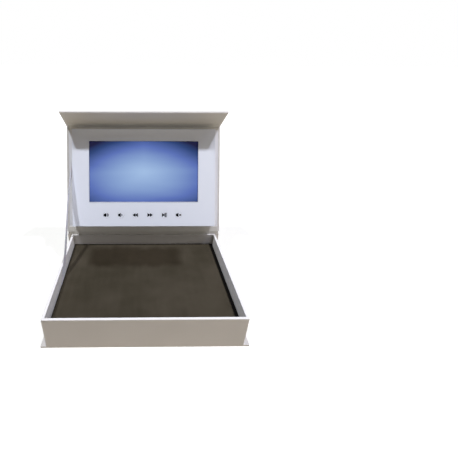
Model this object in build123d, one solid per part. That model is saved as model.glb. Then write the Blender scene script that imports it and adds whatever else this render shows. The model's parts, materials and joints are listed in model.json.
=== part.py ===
from build123d import *
import math
import os

# LCD video brochure: a rigid, paper-covered presentation box of the book type. A case of four
# grey boards (base, spine, lid and flap) is hinged in its own wrap paper. The base carries a
# tray with a velvet pad, and the lid carries a raised housing with a 7-inch screen and six keys.
#
# Millimetres, +Z up, +Y to the hinge. The origin is the centre of the base's underside.
# The lid and the flap are drawn shut and then turned to the rest pose, in which the box
# stands open.

os.makedirs("parts", exist_ok=True)

# ---------------------------------------------------------------- driving dimensions

# Tray
tray_width = 212.0
tray_depth = 150.0
tray_height = 39.5
tray_board = 2.5
tray_corner_radius = 1.0

# Case
case_board = 2.0
case_overhang = 6.0
wrap_paper = 0.25
turn_in = 15.0
liner_margin = 3.0

# Gaps of the shut box
glue_gap = 0.4
lid_gap = 0.3
closing_gap = 1.3
crease_gap = 0.1
ground_gap = 0.5
fit_gap = 0.2

# Rest pose
lid_open_angle = 114.0
flap_rest_angle = 105.0

# Screen housing
housing_depth = 15.0
housing_side_gap = 1.7
housing_front_gap = 2.0
housing_back_gap = 4.0
housing_board = 2.0
face_board = 1.5
housing_corner_radius = 0.8

# Panel: a standard 7-inch module
panel_width = 165.0
panel_height = 100.0
panel_side_border = 5.46
panel_end_border = 7.04
panel_depth = 5.3
panel_corner = 1.5
view_reveal = 0.3
view_rise = 8.9
panel_shell = 0.5
panel_glass = 1.25
bezel_sheet = 0.25
bezel_lip = 1.0
gasket_depth = 0.5
gasket_width = 3.0

# Keys
key_count = 6
key_pitch = 20.55
key_row_shift = -1.6
key_row_inset = 16.3
key_diameter = 9.0
key_slit = 0.15
key_travel = 0.3
stem_diameter = 3.4
stem_entry = 0.4
stem_play = 0.05
switch_size = 6.0
switch_height = 3.5
switch_corner = 0.5

# Electronics
circuit_board = 1.2
carrier_floor = 1.0
carrier_drop = 0.3
board_width = 69.0
board_height = 48.0
board_corner = 1.5
board_hole = 2.2
board_hole_inset = 3.0
board_edge_gap = 1.0
board_wall_gap = 3.0
board_rise = 22.0
chip_thickness = 1.2
chip_chamfer = 0.15
battery_width = 60.0
battery_height = 50.0
battery_depth = 5.0
speaker_diameter = 30.0
speaker_height = 4.5
speaker_sheet = 0.6
speaker_land = 2.5
lead_diameter = 1.2
lead_pitch = 2.0
lead_entry = 1.5
lead_play = 0.05
connector_size = 6.0
connector_height = 3.0
connector_inset = 8.0
cable_sheet = 0.3
cable_width = 8.0
flex_width = 16.0
flex_bend = 1.5
key_board_margin = 9.0
key_board_height = 12.0
socket_depth = 5.0
socket_height = 1.2
usb_width = 8.0
usb_height = 3.0
usb_length = 7.4
usb_corner = 0.8
usb_sheet = 0.3
usb_tongue_length = 5.0
usb_tongue_height = 0.7

# Pad
pad_side_gap = 1.5
velvet = 0.8
pad_round = 2.5

# Magnets
magnet_diameter = 15.0
magnet_thickness = 1.5
magnet_spacing = 120.0
trigger_diameter = 8.0
trigger_thickness = 2.0
reed_diameter = 2.2
reed_length = 12.0

# Ribbon and hinge papers
ribbon_width = 12.0
ribbon_sheet = 0.3
ribbon_gap = 0.3
ribbon_tray_reach = 74.0
ribbon_tuck = 14.0
ribbon_lid_rise = 26.0
ribbon_lid_inset = 7.0
hinge_paper = 0.2
hinge_paper_leg = 8.0
stay_tape = 0.12
stay_tape_leg = 12.0
edge_round = 0.4

# ---------------------------------------------------------------- derived places (shut box)

case_thickness = case_board + 2 * wrap_paper
case_width = tray_width + 2 * case_overhang
case_depth = tray_depth + glue_gap + case_thickness
tray_wall = tray_board + 2 * wrap_paper
inner_width = tray_width - 2 * tray_wall
inner_depth = tray_depth - 2 * tray_wall

front_y = -case_depth / 2
tray_centre_y = front_y + tray_depth / 2
tray_back_y = front_y + tray_depth
tray_base_z = case_thickness
rim_z = tray_base_z + tray_height
floor_z = tray_base_z + wrap_paper + tray_board + wrap_paper
lid_inner_z = rim_z + lid_gap
hinge_y = case_depth / 2
hinge_z = lid_inner_z + case_thickness
fold_y = front_y - glue_gap - case_thickness
spine_top_z = rim_z - fit_gap
flap_top_z = lid_inner_z - fit_gap

housing_width = inner_width - 2 * housing_side_gap
housing_back_y = tray_back_y - tray_wall - housing_back_gap
housing_front_y = front_y + tray_wall + housing_front_gap
housing_height = housing_back_y - housing_front_y
housing_centre_y = (housing_back_y + housing_front_y) / 2
pad_top_z = lid_inner_z - housing_depth - closing_gap

view_width = panel_width - 2 * panel_side_border
view_height = panel_height - 2 * panel_end_border

# Levels of the housing's stack, counted from the lid's inner face towards the viewer
face_back = housing_depth - wrap_paper - face_board
panel_front = face_back - gasket_depth
panel_back = panel_front - panel_depth
carrier_top = panel_back - carrier_drop
board_top = carrier_floor + circuit_board
cable_level = board_top + socket_height
key_board_back = carrier_top - circuit_board
switch_top = carrier_top + switch_height
switch_bore_depth = stem_entry + 2 * key_travel
well_width = housing_width - 2 * wrap_paper - 2 * housing_board
well_height = housing_height - 2 * wrap_paper - 2 * housing_board
key_row_rise = key_row_inset - housing_height / 2
key_row_half = key_pitch * (key_count - 1) / 2
reed_x = key_row_shift - key_row_half - key_board_margin - reed_length / 2
key_board_left = reed_x - reed_length
key_board_right = key_row_shift + key_row_half + key_board_margin
board_x = well_width / 2 - board_wall_gap - board_width / 2
board_left = board_x - board_width / 2
board_foot = board_rise - board_height / 2
battery_x = board_wall_gap + battery_width / 2 - well_width / 2
speaker_x = (battery_x + battery_width / 2 + board_left) / 2
speaker_rise = board_foot + speaker_diameter / 2 + board_wall_gap
lead_level = board_top + connector_height / 2
flex_x = panel_width / 2 - flex_width / 2 - board_wall_gap
cable_x = flex_x - flex_width / 2 - cable_width - board_wall_gap
lead_end_x = board_left + board_edge_gap + lead_entry


# ---------------------------------------------------------------- helpers


def block(x, y, z):
    """Box between three (low, high) pairs."""
    centre = ((x[0] + x[1]) / 2, (y[0] + y[1]) / 2, (z[0] + z[1]) / 2)
    return Pos(*centre) * Box(x[1] - x[0], y[1] - y[0], z[1] - z[0])


def slab(width, depth, radius, z, y=0.0):
    """Upright slab with rounded corners between two levels."""
    outline = RectangleRounded(width, depth, radius)
    return Pos(0, y, z[0]) * extrude(outline, z[1] - z[0])


def plate(width, height, z, x=0.0, y=0.0):
    """Square-cornered plate about a point of its plane, between two levels."""
    return Pos(x, y, z[0]) * extrude(Rectangle(width, height), z[1] - z[0])


def disc(diameter, z, x=0.0, y=0.0):
    """Round plate about a point of its plane, between two levels."""
    return Pos(x, y, z[0]) * extrude(Circle(diameter / 2), z[1] - z[0])


def turned(point, pivot, angle):
    """A (y, z) point after a turn about a pivot, positive from +Y towards +Z."""
    a = math.radians(angle)
    dy = point[0] - pivot[0]
    dz = point[1] - pivot[1]
    y = pivot[0] + dy * math.cos(a) - dz * math.sin(a)
    z = pivot[1] + dy * math.sin(a) + dz * math.cos(a)
    return (y, z)


def yz_prism(outline, x):
    """Prism of a (y, z) outline between two x values."""
    face = make_face(Polyline(*outline, close=True))
    return extrude(Plane.YZ.offset(x[0]) * face, x[1] - x[0])


def yz_strip(points, radius, thickness, x):
    """Bent sheet: a line in the YZ plane with rounded corners, swept with a flat section."""
    line = FilletPolyline(*[(0, y, z) for y, z in points], radius=radius)
    start = line @ 0
    tangent = line % 0
    section = Plane(origin=start, x_dir=(1, 0, 0), z_dir=tangent) * Rectangle(x[1] - x[0], thickness)
    return Pos((x[0] + x[1]) / 2, 0, 0) * sweep(section, path=line)


lid_axis = Axis((0, hinge_y, hinge_z), (1, 0, 0))
fold_axis = Axis((0, fold_y, hinge_z), (1, 0, 0))
housing_plane = Plane((0, housing_centre_y, lid_inner_z), x_dir=(1, 0, 0), z_dir=(0, 0, -1))


def open_lid(shape):
    """Turn a piece of the shut lid to the rest pose."""
    return shape.rotate(lid_axis, -lid_open_angle)


def open_flap(shape):
    """Turn a piece of the shut flap to the rest pose."""
    return open_lid(shape.rotate(fold_axis, 90 - flap_rest_angle))


def in_housing(shape):
    """Place a piece drawn face up in the housing: X right, Y up the screen, Z to the viewer."""
    return open_lid(housing_plane.location * shape)


def housing_point(rise, out):
    """The (y, z) point at rest of a height up the housing and a level out of the lid."""
    shut = (housing_centre_y - rise, lid_inner_z - out)
    return turned(shut, (hinge_y, hinge_z), -lid_open_angle)


# ---------------------------------------------------------------- case


def end_profile_edges(solid, half_width):
    """Edges of a solid's outline on both of its end planes."""
    ends = solid.edges().filter_by_position(Axis.X, half_width - 0.01, half_width + 0.01)
    return ends + solid.edges().filter_by_position(Axis.X, -half_width - 0.01, -half_width + 0.01)


def covered_board(y, z):
    """Outer form of one wrapped board, rounded along both of its short ends."""
    half = case_width / 2
    body = block((-half, half), y, z)
    return fillet(end_profile_edges(body, half), edge_round)


def make_base_board():
    """Grey board under the tray."""
    half = case_width / 2 - wrap_paper
    y = (front_y + wrap_paper, tray_back_y - fit_gap)
    return block((-half, half), y, (wrap_paper, wrap_paper + case_board))


def make_spine_board():
    """Grey board that stands behind the tray."""
    half = case_width / 2 - wrap_paper
    y = (hinge_y - wrap_paper - case_board, hinge_y - wrap_paper)
    return block((-half, half), y, (wrap_paper, spine_top_z - wrap_paper))


def make_base_wrap():
    """Paper round the base and spine boards, turned in on the inside, up to the lid's crease."""
    half = case_width / 2
    spine_front_y = hinge_y - case_thickness
    outline = [
        (front_y, 0),
        (hinge_y, 0),
        (hinge_y, spine_top_z),
        (spine_front_y, spine_top_z),
        (spine_front_y, case_thickness),
        (front_y, case_thickness),
    ]
    body = yz_prism(outline, (-half, half))
    body = fillet(end_profile_edges(body, half), edge_round)
    lip_top = hinge_z - wrap_paper - crease_gap
    lip_y = (hinge_y - wrap_paper, hinge_y)
    body += block((edge_round - half, half - edge_round), lip_y, (spine_top_z - wrap_paper, lip_top))
    bare = half - turn_in
    base_window = block(
        (-bare, bare), (front_y + turn_in, tray_back_y - turn_in), (wrap_paper, 2 * case_thickness)
    )
    spine_window = block(
        (-bare, bare), (tray_back_y, hinge_y - wrap_paper), (case_thickness, spine_top_z - turn_in)
    )
    return body - make_base_board() - make_spine_board() - base_window - spine_window


def lid_board_y():
    """Ends of the shut lid's board along Y."""
    inset = wrap_paper + crease_gap
    return (fold_y + inset + wrap_paper, hinge_y - inset - wrap_paper)


def make_lid_board_shut():
    """Grey board of the lid."""
    half = case_width / 2 - wrap_paper
    z = (lid_inner_z + wrap_paper, hinge_z - wrap_paper)
    return block((-half, half), lid_board_y(), z)


def lid_window():
    """Field inside the lid's turn-ins, where the liner lies."""
    half = case_width / 2 - liner_margin
    y = lid_board_y()
    window_y = (y[0] + liner_margin, y[1] - liner_margin)
    return block((-half, half), window_y, (lid_inner_z, lid_inner_z + wrap_paper))


def make_lid_wrap_shut():
    """Paper round the lid's board; its outer sheet runs on to the crease at each end."""
    inset = wrap_paper + crease_gap
    body = covered_board((fold_y + inset, hinge_y - inset), (lid_inner_z, hinge_z))
    half = case_width / 2 - edge_round
    body += block((-half, half), (fold_y, hinge_y), (hinge_z - wrap_paper, hinge_z))
    return body - make_lid_board_shut() - lid_window()


def magnet_places():
    """X of each closing magnet."""
    return [-magnet_spacing / 2, magnet_spacing / 2]


def magnet_z():
    """Height of the closing magnets in the shut box."""
    return (tray_base_z + rim_z) / 2


def facing_discs(diameter, y):
    """Upright discs at the closing magnets' places, between two y values."""
    discs = []
    for x in magnet_places():
        turned_disc = Rot(-90, 0, 0) * Cylinder(diameter / 2, y[1] - y[0])
        discs.append(Pos(x, (y[0] + y[1]) / 2, magnet_z()) * turned_disc)
    return Compound(children=discs)


def flap_magnet_y():
    """Depth of the magnets in the shut flap, flush with the board's inner side."""
    board_inner = fold_y + wrap_paper + case_board
    return (board_inner - magnet_thickness, board_inner)


def plate_y():
    """Depth of the steel plates, flush with the outside of the tray's front board."""
    return (front_y + wrap_paper, front_y + wrap_paper + magnet_thickness)


def make_flap_board_shut():
    """Grey board of the flap, with a round pocket for each magnet."""
    half = case_width / 2 - wrap_paper
    y = (fold_y + wrap_paper, fold_y + wrap_paper + case_board)
    board = block((-half, half), y, (ground_gap + wrap_paper, flap_top_z - wrap_paper))
    return board - facing_discs(magnet_diameter + fit_gap, flap_magnet_y())


def flap_window():
    """Field inside the flap's turn-ins, where the liner lies."""
    half = case_width / 2 - liner_margin
    inner = fold_y + case_thickness
    z = (ground_gap + liner_margin, flap_top_z - liner_margin)
    return block((-half, half), (inner - wrap_paper, inner), z)


def make_flap_wrap_shut():
    """Paper round the flap's board; its outer sheet runs up to the crease."""
    half = case_width / 2
    body = covered_board((fold_y, fold_y + case_thickness), (ground_gap, flap_top_z))
    lip_z = (flap_top_z - wrap_paper, hinge_z - wrap_paper - crease_gap)
    body += block((edge_round - half, half - edge_round), (fold_y, fold_y + wrap_paper), lip_z)
    y = (fold_y + wrap_paper, fold_y + wrap_paper + case_board)
    inside = block(
        (wrap_paper - half, half - wrap_paper), y, (ground_gap + wrap_paper, flap_top_z - wrap_paper)
    )
    return body - inside - flap_window()


# ---------------------------------------------------------------- tray


def board_ring_size():
    """Outer width and depth of the tray's boards, inside the wrap."""
    return tray_width - 2 * wrap_paper, tray_depth - 2 * wrap_paper


def board_levels():
    """Lowest and highest level of the tray's wall boards."""
    return (tray_base_z + wrap_paper, rim_z - wrap_paper)


def make_tray_long_wall(front):
    """Front or back wall board, over the tray's full width, with rounded outer corners."""
    width, depth = board_ring_size()
    ring = slab(width, depth, tray_corner_radius - wrap_paper, board_levels(), tray_centre_y)
    edge = tray_centre_y - depth / 2
    y = (edge, edge + tray_board)
    if not front:
        y = (edge + depth - tray_board, edge + depth)
    wall = ring & block((-width, width), y, (0, 2 * rim_z))
    if front:
        wall -= facing_discs(magnet_diameter + fit_gap, plate_y())
    return wall


def make_tray_side_wall(side):
    """Left (-1) or right (+1) wall board, between the long walls."""
    width, depth = board_ring_size()
    outer = side * width / 2
    x = sorted((outer, outer - side * tray_board))
    half = depth / 2 - tray_board
    return block(x, (tray_centre_y - half, tray_centre_y + half), board_levels())


def make_tray_floor():
    """Floor board, inside the four walls."""
    width, depth = board_ring_size()
    z = tray_base_z + wrap_paper
    x = width / 2 - tray_board
    y = depth / 2 - tray_board
    return block((-x, x), (tray_centre_y - y, tray_centre_y + y), (z, z + tray_board))


def make_corner_tapes():
    """Paper tape round each upright corner of the boards."""
    width, depth = board_ring_size()
    radius = tray_corner_radius - wrap_paper
    z = board_levels()
    outer = slab(width + 2 * stay_tape, depth + 2 * stay_tape, radius + stay_tape, z, tray_centre_y)
    inner = slab(width, depth, radius, z, tray_centre_y)
    middle = block(
        (stay_tape_leg - width / 2, width / 2 - stay_tape_leg), (-tray_depth, tray_depth), z
    )
    reach = depth / 2 - stay_tape_leg
    sides = block((-width, width), (tray_centre_y - reach, tray_centre_y + reach), z)
    return outer - inner - middle - sides


def make_tray_wrap():
    """Paper over the walls' outsides, over the rim and down the insides to the floor."""
    z = (tray_base_z, rim_z)
    body = slab(tray_width, tray_depth, tray_corner_radius, z, tray_centre_y)
    body -= plate(inner_width, inner_depth, (floor_z - wrap_paper, rim_z), y=tray_centre_y)
    body = fillet(body.edges().group_by(Axis.Z)[-1], edge_round)
    width, depth = board_ring_size()
    ring = slab(width, depth, tray_corner_radius - wrap_paper, board_levels(), tray_centre_y)
    body -= ring - plate(inner_width, inner_depth, z, y=tray_centre_y) - inner_skin()
    body -= make_tray_floor()
    bare = (tray_width - 2 * turn_in, tray_depth - 2 * turn_in)
    body -= plate(bare[0], bare[1], (tray_base_z, tray_base_z + wrap_paper), y=tray_centre_y)
    return body - make_corner_tapes()


def inner_skin():
    """Space of the wrap on the inner side of the walls, above the floor board."""
    z = (floor_z - wrap_paper, rim_z)
    outer = plate(inner_width + 2 * wrap_paper, inner_depth + 2 * wrap_paper, z, y=tray_centre_y)
    return outer - plate(inner_width, inner_depth, z, y=tray_centre_y)


def make_floor_liner():
    """Paper on the tray's floor, under the pad."""
    z = (floor_z - wrap_paper, floor_z)
    return plate(inner_width, inner_depth, z, y=tray_centre_y)


# ---------------------------------------------------------------- pad


def pad_body(shrink):
    """Pad with rounded top edges, made smaller by the same amount at its sides and top."""
    width = inner_width - 2 * pad_side_gap - 2 * shrink
    depth = inner_depth - 2 * pad_side_gap - 2 * shrink
    radius = pad_round - shrink
    body = slab(width, depth, radius, (floor_z, pad_top_z - shrink), tray_centre_y)
    return fillet(body.edges().group_by(Axis.Z)[-1], radius * 0.9)


def trigger_pocket(clearance):
    """Round place under the velvet, below the reed switch of the shut lid."""
    z = (pad_top_z - velvet - trigger_thickness, pad_top_z - velvet)
    y = housing_centre_y - key_row_rise
    return disc(trigger_diameter + 2 * clearance, z, reed_x, y)


def make_pad_foam():
    """Foam block of the pad."""
    return pad_body(velvet) - trigger_pocket(fit_gap / 2)


def make_pad_cover():
    """Velvet over the foam's top and sides."""
    return pad_body(0) - pad_body(velvet)


# ---------------------------------------------------------------- ribbon and hinge papers


def make_stay_ribbon():
    """Straight ribbon from the tray's left wall to the housing's left side."""
    low = (front_y + ribbon_tray_reach, pad_top_z)
    high = housing_point(ribbon_lid_rise, ribbon_lid_inset)
    run = math.dist(low, high)
    slope = math.degrees(math.atan2(high[1] - low[1], high[0] - low[0]))
    tray_x = -inner_width / 2 + ribbon_gap + ribbon_sheet / 2
    lid_x = -housing_width / 2 - ribbon_gap - ribbon_sheet / 2
    lean = math.degrees(math.atan2(lid_x - tray_x, run))
    outline = Pos((run - ribbon_tuck) / 2, 0) * Rectangle(run + ribbon_tuck, ribbon_width)
    strip = Plane.YZ * Pos(0, 0, -ribbon_sheet / 2) * extrude(outline, ribbon_sheet)
    strip = Rot(0, 0, -lean) * strip
    return Pos(tray_x, low[0], low[1]) * Rot(slope, 0, 0) * strip


def make_lid_hinge_paper():
    """Inner paper of the lid's crease: up between tray and spine, then along the lid."""
    gap_middle = tray_back_y + glue_gap / 2
    level = crease_gap + hinge_paper / 2
    start_rise = housing_centre_y - hinge_y
    leg_start = housing_point(start_rise + crease_gap, level)
    leg_end = housing_point(start_rise + hinge_paper_leg, level)
    points = [(gap_middle, rim_z - hinge_paper_leg), (gap_middle, rim_z + crease_gap), leg_start, leg_end]
    half = case_width / 2 - liner_margin
    return yz_strip(points, hinge_paper, hinge_paper, (-half, half))


def make_fold_hinge_paper():
    """Inner paper of the flap's crease: along the lid, then along the flap."""
    level = crease_gap + hinge_paper / 2
    lid_z = lid_inner_z - level
    flap_y = fold_y + case_thickness + level
    swing = 90 - flap_rest_angle
    pivot = (fold_y, hinge_z)
    flap_end = turned((flap_y, flap_top_z - hinge_paper_leg), pivot, swing)
    slope = math.radians(flap_rest_angle)
    drop = flap_end[1] - lid_z
    corner_y = flap_end[0] + drop / math.tan(slope)
    lid_end = (housing_front_y - housing_front_gap / 2, lid_z)
    points = [lid_end, (corner_y, lid_z), flap_end]
    half = case_width / 2 - liner_margin
    return open_lid(yz_strip(points, hinge_paper, hinge_paper, (-half, half)))


# ---------------------------------------------------------------- screen housing (drawn face up)


def key_places():
    """X of each key, from left to right."""
    first = key_row_shift - key_row_half
    return [first + key_pitch * i for i in range(key_count)]


def key_holes(z):
    """Round holes for the keys between two levels."""
    bore = key_diameter + 2 * key_slit
    holes = [disc(bore, z, x, key_row_rise) for x in key_places()]
    return Compound(children=holes)


def view_window(z, margin=0.0):
    """Window over the panel's picture between two levels."""
    width = view_width + 2 * view_reveal + 2 * margin
    height = view_height + 2 * view_reveal + 2 * margin
    return plate(width, height, z, y=view_rise)


def usb_place():
    """X of the receptacle's mouth, and its height up the board."""
    return housing_width / 2 - fit_gap, board_rise


def usb_hole():
    """Hole in the housing's right side for the receptacle."""
    width = usb_width + 2 * fit_gap
    level = board_top + usb_height / 2
    height = usb_height / 2 + fit_gap
    x = (well_width / 2 - usb_length, housing_width)
    y = (board_rise - width / 2, board_rise + width / 2)
    return block(x, y, (level - height, level + height))


def make_face_board():
    """Front board of the housing, with the picture window and the key holes."""
    z = (face_back, face_back + face_board)
    radius = housing_corner_radius - wrap_paper
    board = slab(housing_width - 2 * wrap_paper, housing_height - 2 * wrap_paper, radius, z)
    return board - view_window(z) - key_holes(z)


def make_face_wrap():
    """White paper over the housing's face and sides."""
    body = slab(housing_width, housing_height, housing_corner_radius, (0, housing_depth))
    body = fillet(body.edges().group_by(Axis.Z)[-1], edge_round)
    radius = housing_corner_radius - wrap_paper
    inside_z = (0, housing_depth - wrap_paper)
    body -= slab(housing_width - 2 * wrap_paper, housing_height - 2 * wrap_paper, radius, inside_z)
    through = (face_back, housing_depth)
    return body - view_window(through) - key_holes(through) - usb_hole()


def make_housing_long_wall(side):
    """Wall at the housing's bottom (-1) or top (+1), over its full width."""
    radius = housing_corner_radius - wrap_paper
    z = (0, face_back)
    ring = slab(housing_width - 2 * wrap_paper, housing_height - 2 * wrap_paper, radius, z)
    inner = side * well_height / 2
    y = sorted((inner, inner + side * housing_board))
    return ring & block((-housing_width, housing_width), y, z)


def make_housing_side_wall(side):
    """Wall at the housing's left (-1) or right (+1); the right one lets the receptacle out."""
    inner = side * well_width / 2
    x = sorted((inner, inner + side * housing_board))
    wall = block(x, (-well_height / 2, well_height / 2), (0, face_back))
    return wall - usb_hole()


# ---------------------------------------------------------------- panel


def make_panel_glass():
    """Glass of the panel, inside the shell's rim."""
    width = panel_width - 2 * panel_shell - 2 * fit_gap
    height = panel_height - 2 * panel_shell - 2 * fit_gap
    front = panel_front - bezel_sheet
    return plate(width, height, (front - panel_glass, front), y=view_rise)


def make_panel_shell():
    """Backlight tray of the panel."""
    front = panel_front - bezel_sheet
    width = panel_width - 2 * bezel_sheet
    height = panel_height - 2 * bezel_sheet
    shell = slab(width, height, panel_corner, (panel_back, front), view_rise)
    hollow_width = panel_width - 2 * panel_shell
    hollow_height = panel_height - 2 * panel_shell
    return shell - plate(hollow_width, hollow_height, (front - panel_glass, front), y=view_rise)


def make_panel_bezel():
    """Sheet-steel frame over the panel's front edge and sides."""
    z = (panel_back + panel_depth / 2, panel_front)
    body = slab(panel_width, panel_height, panel_corner, z, view_rise)
    inside = (z[0], panel_front - bezel_sheet)
    width = panel_width - 2 * bezel_sheet
    height = panel_height - 2 * bezel_sheet
    body -= slab(width, height, panel_corner, inside, view_rise)
    return body - view_window(z, bezel_lip)


def make_panel_gasket():
    """Foam frame that seats the panel on the face board's back."""
    z = (panel_front, face_back)
    margin = bezel_lip + gasket_width
    return view_window(z, margin) - view_window(z, bezel_lip)


def make_panel_flex():
    """Flex cable: out of the panel's lower edge, round a bend and back to the main board."""
    foot = view_rise - panel_height / 2
    out = foot - 2 * flex_bend - cable_sheet
    level = cable_level + cable_sheet / 2
    high = panel_back + 2 * flex_bend
    points = [(foot, high), (out, high), (out, level), (board_foot + cable_width, level)]
    half = flex_width / 2
    strip = yz_strip(points, flex_bend, cable_sheet, (flex_x - half, flex_x + half))
    return strip


# ---------------------------------------------------------------- keys


def make_key(x):
    """Key: a round piece of the face with a stem that enters its switch."""
    cap = disc(key_diameter, (face_back, housing_depth), x, key_row_rise)
    stem = disc(stem_diameter, (switch_top - stem_entry, face_back), x, key_row_rise)
    return cap + stem


def key_board_space(play):
    """Space of the strip behind the keys, larger by a play all round."""
    half = key_board_height / 2 + play
    x = (key_board_left - play, key_board_right + play)
    return block(x, (key_row_rise - half, key_row_rise + half), (key_board_back, carrier_top))


def make_key_board():
    """Strip of circuit board behind the keys, longer at the left for the reed switch."""
    return key_board_space(0)


def make_key_switches():
    """Tact switch bodies, one under each key, with a bore for the stem."""
    switches = []
    for x in key_places():
        body = plate(switch_size, switch_size, (carrier_top, switch_top), x, key_row_rise)
        body = fillet(body.edges().filter_by(Axis.Z), switch_corner)
        bore_z = (switch_top - switch_bore_depth, switch_top)
        switches.append(body - disc(stem_diameter + 2 * stem_play, bore_z, x, key_row_rise))
    return Compound(children=switches)


def make_key_cable():
    """Flat cable to the main board, with its plug on the back of the key strip."""
    y = (key_row_rise - cable_width / 2, board_foot + cable_width)
    half = cable_width / 2
    x = (cable_x - half, cable_x + half)
    cable = block(x, y, (cable_level, cable_level + cable_sheet))
    return cable + block(x, (y[0], key_row_rise), (cable_level, key_board_back))


def make_reed_switch():
    """Glass reed switch on the left end of the key strip."""
    body = Rot(0, 90, 0) * Cylinder(reed_diameter / 2, reed_length)
    body = fillet(body.edges(), reed_diameter * 0.45)
    return Pos(reed_x, key_row_rise, carrier_top + reed_diameter / 2) * body


# ---------------------------------------------------------------- electronics


def make_main_board():
    """Main circuit board with rounded corners and two holes at its left edge."""
    outline = RectangleRounded(board_width, board_height, board_corner)
    hole_x = board_width / 2 - board_hole_inset
    hole_y = board_height / 2 - board_hole_inset
    for side in (-1, 1):
        outline -= Pos(-hole_x, side * hole_y) * Circle(board_hole / 2)
    return Pos(board_x, board_rise, carrier_floor) * extrude(outline, circuit_board)


def board_chip(width, height, right, up):
    """Chip on the main board, placed from the board's centre."""
    z = (board_top, board_top + chip_thickness)
    body = plate(width, height, z, board_x + right, board_rise + up)
    return chamfer(body.edges().group_by(Axis.Z)[-1], chip_chamfer)


def lead_rises():
    """Heights of the battery's and the speaker's connectors up the housing."""
    return board_rise + board_height / 2 - connector_inset, speaker_rise


def make_lead_connector(rise):
    """Two-way connector at the main board's left edge."""
    z = (board_top, board_top + connector_height)
    left = board_left + board_edge_gap
    y = (rise - connector_size / 2, rise + connector_size / 2)
    body = block((left, left + connector_size), y, z)
    half = lead_diameter / 2 + lead_play
    for line in lead_lines(rise):
        mouth = (lead_level - half, lead_level + half)
        body -= block((board_left, lead_end_x + half), (line - half, line + half), mouth)
    return body


def make_board_socket(x):
    """Low socket that holds a flat cable at the main board's lower edge."""
    half = cable_width / 2
    low = board_foot + board_edge_gap
    return block((x - half, x + half), (low, low + socket_depth), (board_top, cable_level))


def lead_lines(rise):
    """Heights of the two wires of a lead."""
    return (rise - lead_pitch / 2, rise + lead_pitch / 2)


def make_leads(start_x, start_rise, end_rise):
    """Two wires from a part on the left to a connector, with one gentle double bend."""
    wires = []
    third = (lead_end_x - start_x) / 3
    for low, high in zip(lead_lines(start_rise), lead_lines(end_rise)):
        points = [
            (start_x, low, lead_level),
            (start_x + third, low, lead_level),
            (lead_end_x - third, high, lead_level),
            (lead_end_x, high, lead_level),
        ]
        if abs(high - low) < 0.01:
            line = Line(points[0], points[-1])
        else:
            line = FilletPolyline(*points, radius=3 * lead_diameter)
        section = Plane(origin=line @ 0, z_dir=line % 0) * Circle(lead_diameter / 2)
        wires.append(sweep(section, path=line))
    return Compound(children=wires)


def make_battery():
    """Pouch cell with soft long edges."""
    x = (battery_x - battery_width / 2, battery_x + battery_width / 2)
    y = (board_rise - battery_height / 2, board_rise + battery_height / 2)
    body = block(x, y, (carrier_floor, carrier_floor + battery_depth))
    return fillet(body.edges().filter_by(Axis.Y), battery_depth * 0.3)


def speaker_place():
    """Location of the speaker's back."""
    return Pos(speaker_x, speaker_rise, carrier_floor)


def make_speaker_frame():
    """Speaker basket: magnet cup, dish and flat rim, turned about its axis."""
    rim = speaker_diameter / 2
    cup = rim * 0.45
    floor = speaker_height * 0.35
    seat = speaker_height - 2 * speaker_sheet
    outline = Polyline(
        (0, 0),
        (cup, 0),
        (cup, floor),
        (rim - speaker_land, seat),
        (rim, speaker_height - speaker_sheet),
        (rim, speaker_height),
        (rim - speaker_land, speaker_height),
        (rim - speaker_land - speaker_sheet, seat),
        (cup - speaker_sheet, floor + speaker_sheet),
        (0, floor + speaker_sheet),
        close=True,
    )
    body = revolve(Plane.XZ * make_face(outline), Axis.Z)
    return speaker_place() * body


def make_speaker_cone():
    """Speaker cone with its centre dome, seated in the rim."""
    rim = speaker_diameter / 2 - speaker_land - fit_gap
    sheet = speaker_sheet / 2
    foot = speaker_height * 0.35 + speaker_sheet + 2 * fit_gap
    top = speaker_height - sheet
    valley = rim * 0.3
    crown = foot + speaker_sheet
    lower = Polyline((0, crown), (valley, foot), (rim, top))
    edge = Line((rim, top), (rim, speaker_height))
    upper = Polyline((rim, speaker_height), (valley, foot + sheet), (0, crown + sheet))
    middle = Line((0, crown + sheet), (0, crown))
    outline = make_face([lower, edge, upper, middle])
    return speaker_place() * revolve(Plane.XZ * outline, Axis.Z)


def make_usb_shell():
    """Sheet-metal shell of the receptacle, open at its mouth."""
    mouth, rise = usb_place()
    z = (board_top, board_top + usb_height)
    y = (rise - usb_width / 2, rise + usb_width / 2)
    body = block((mouth - usb_length, mouth), y, z)
    body = fillet(body.edges().filter_by(Axis.X), usb_corner)
    inner_y = (y[0] + usb_sheet, y[1] - usb_sheet)
    inner_z = (z[0] + usb_sheet, z[1] - usb_sheet)
    hollow = block((mouth - usb_length + usb_sheet, mouth), inner_y, inner_z)
    return body - fillet(hollow.edges().filter_by(Axis.X), usb_corner - usb_sheet)


def make_usb_tongue():
    """Contact tongue inside the receptacle."""
    mouth, rise = usb_place()
    back = mouth - usb_length + usb_sheet
    middle = board_top + usb_height / 2
    half_width = usb_width / 2 - 3 * usb_sheet
    half_height = usb_tongue_height / 2
    z = (middle - half_height, middle + half_height)
    y = (rise - half_width, rise + half_width)
    return block((back, back + usb_tongue_length), y, z)


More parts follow.
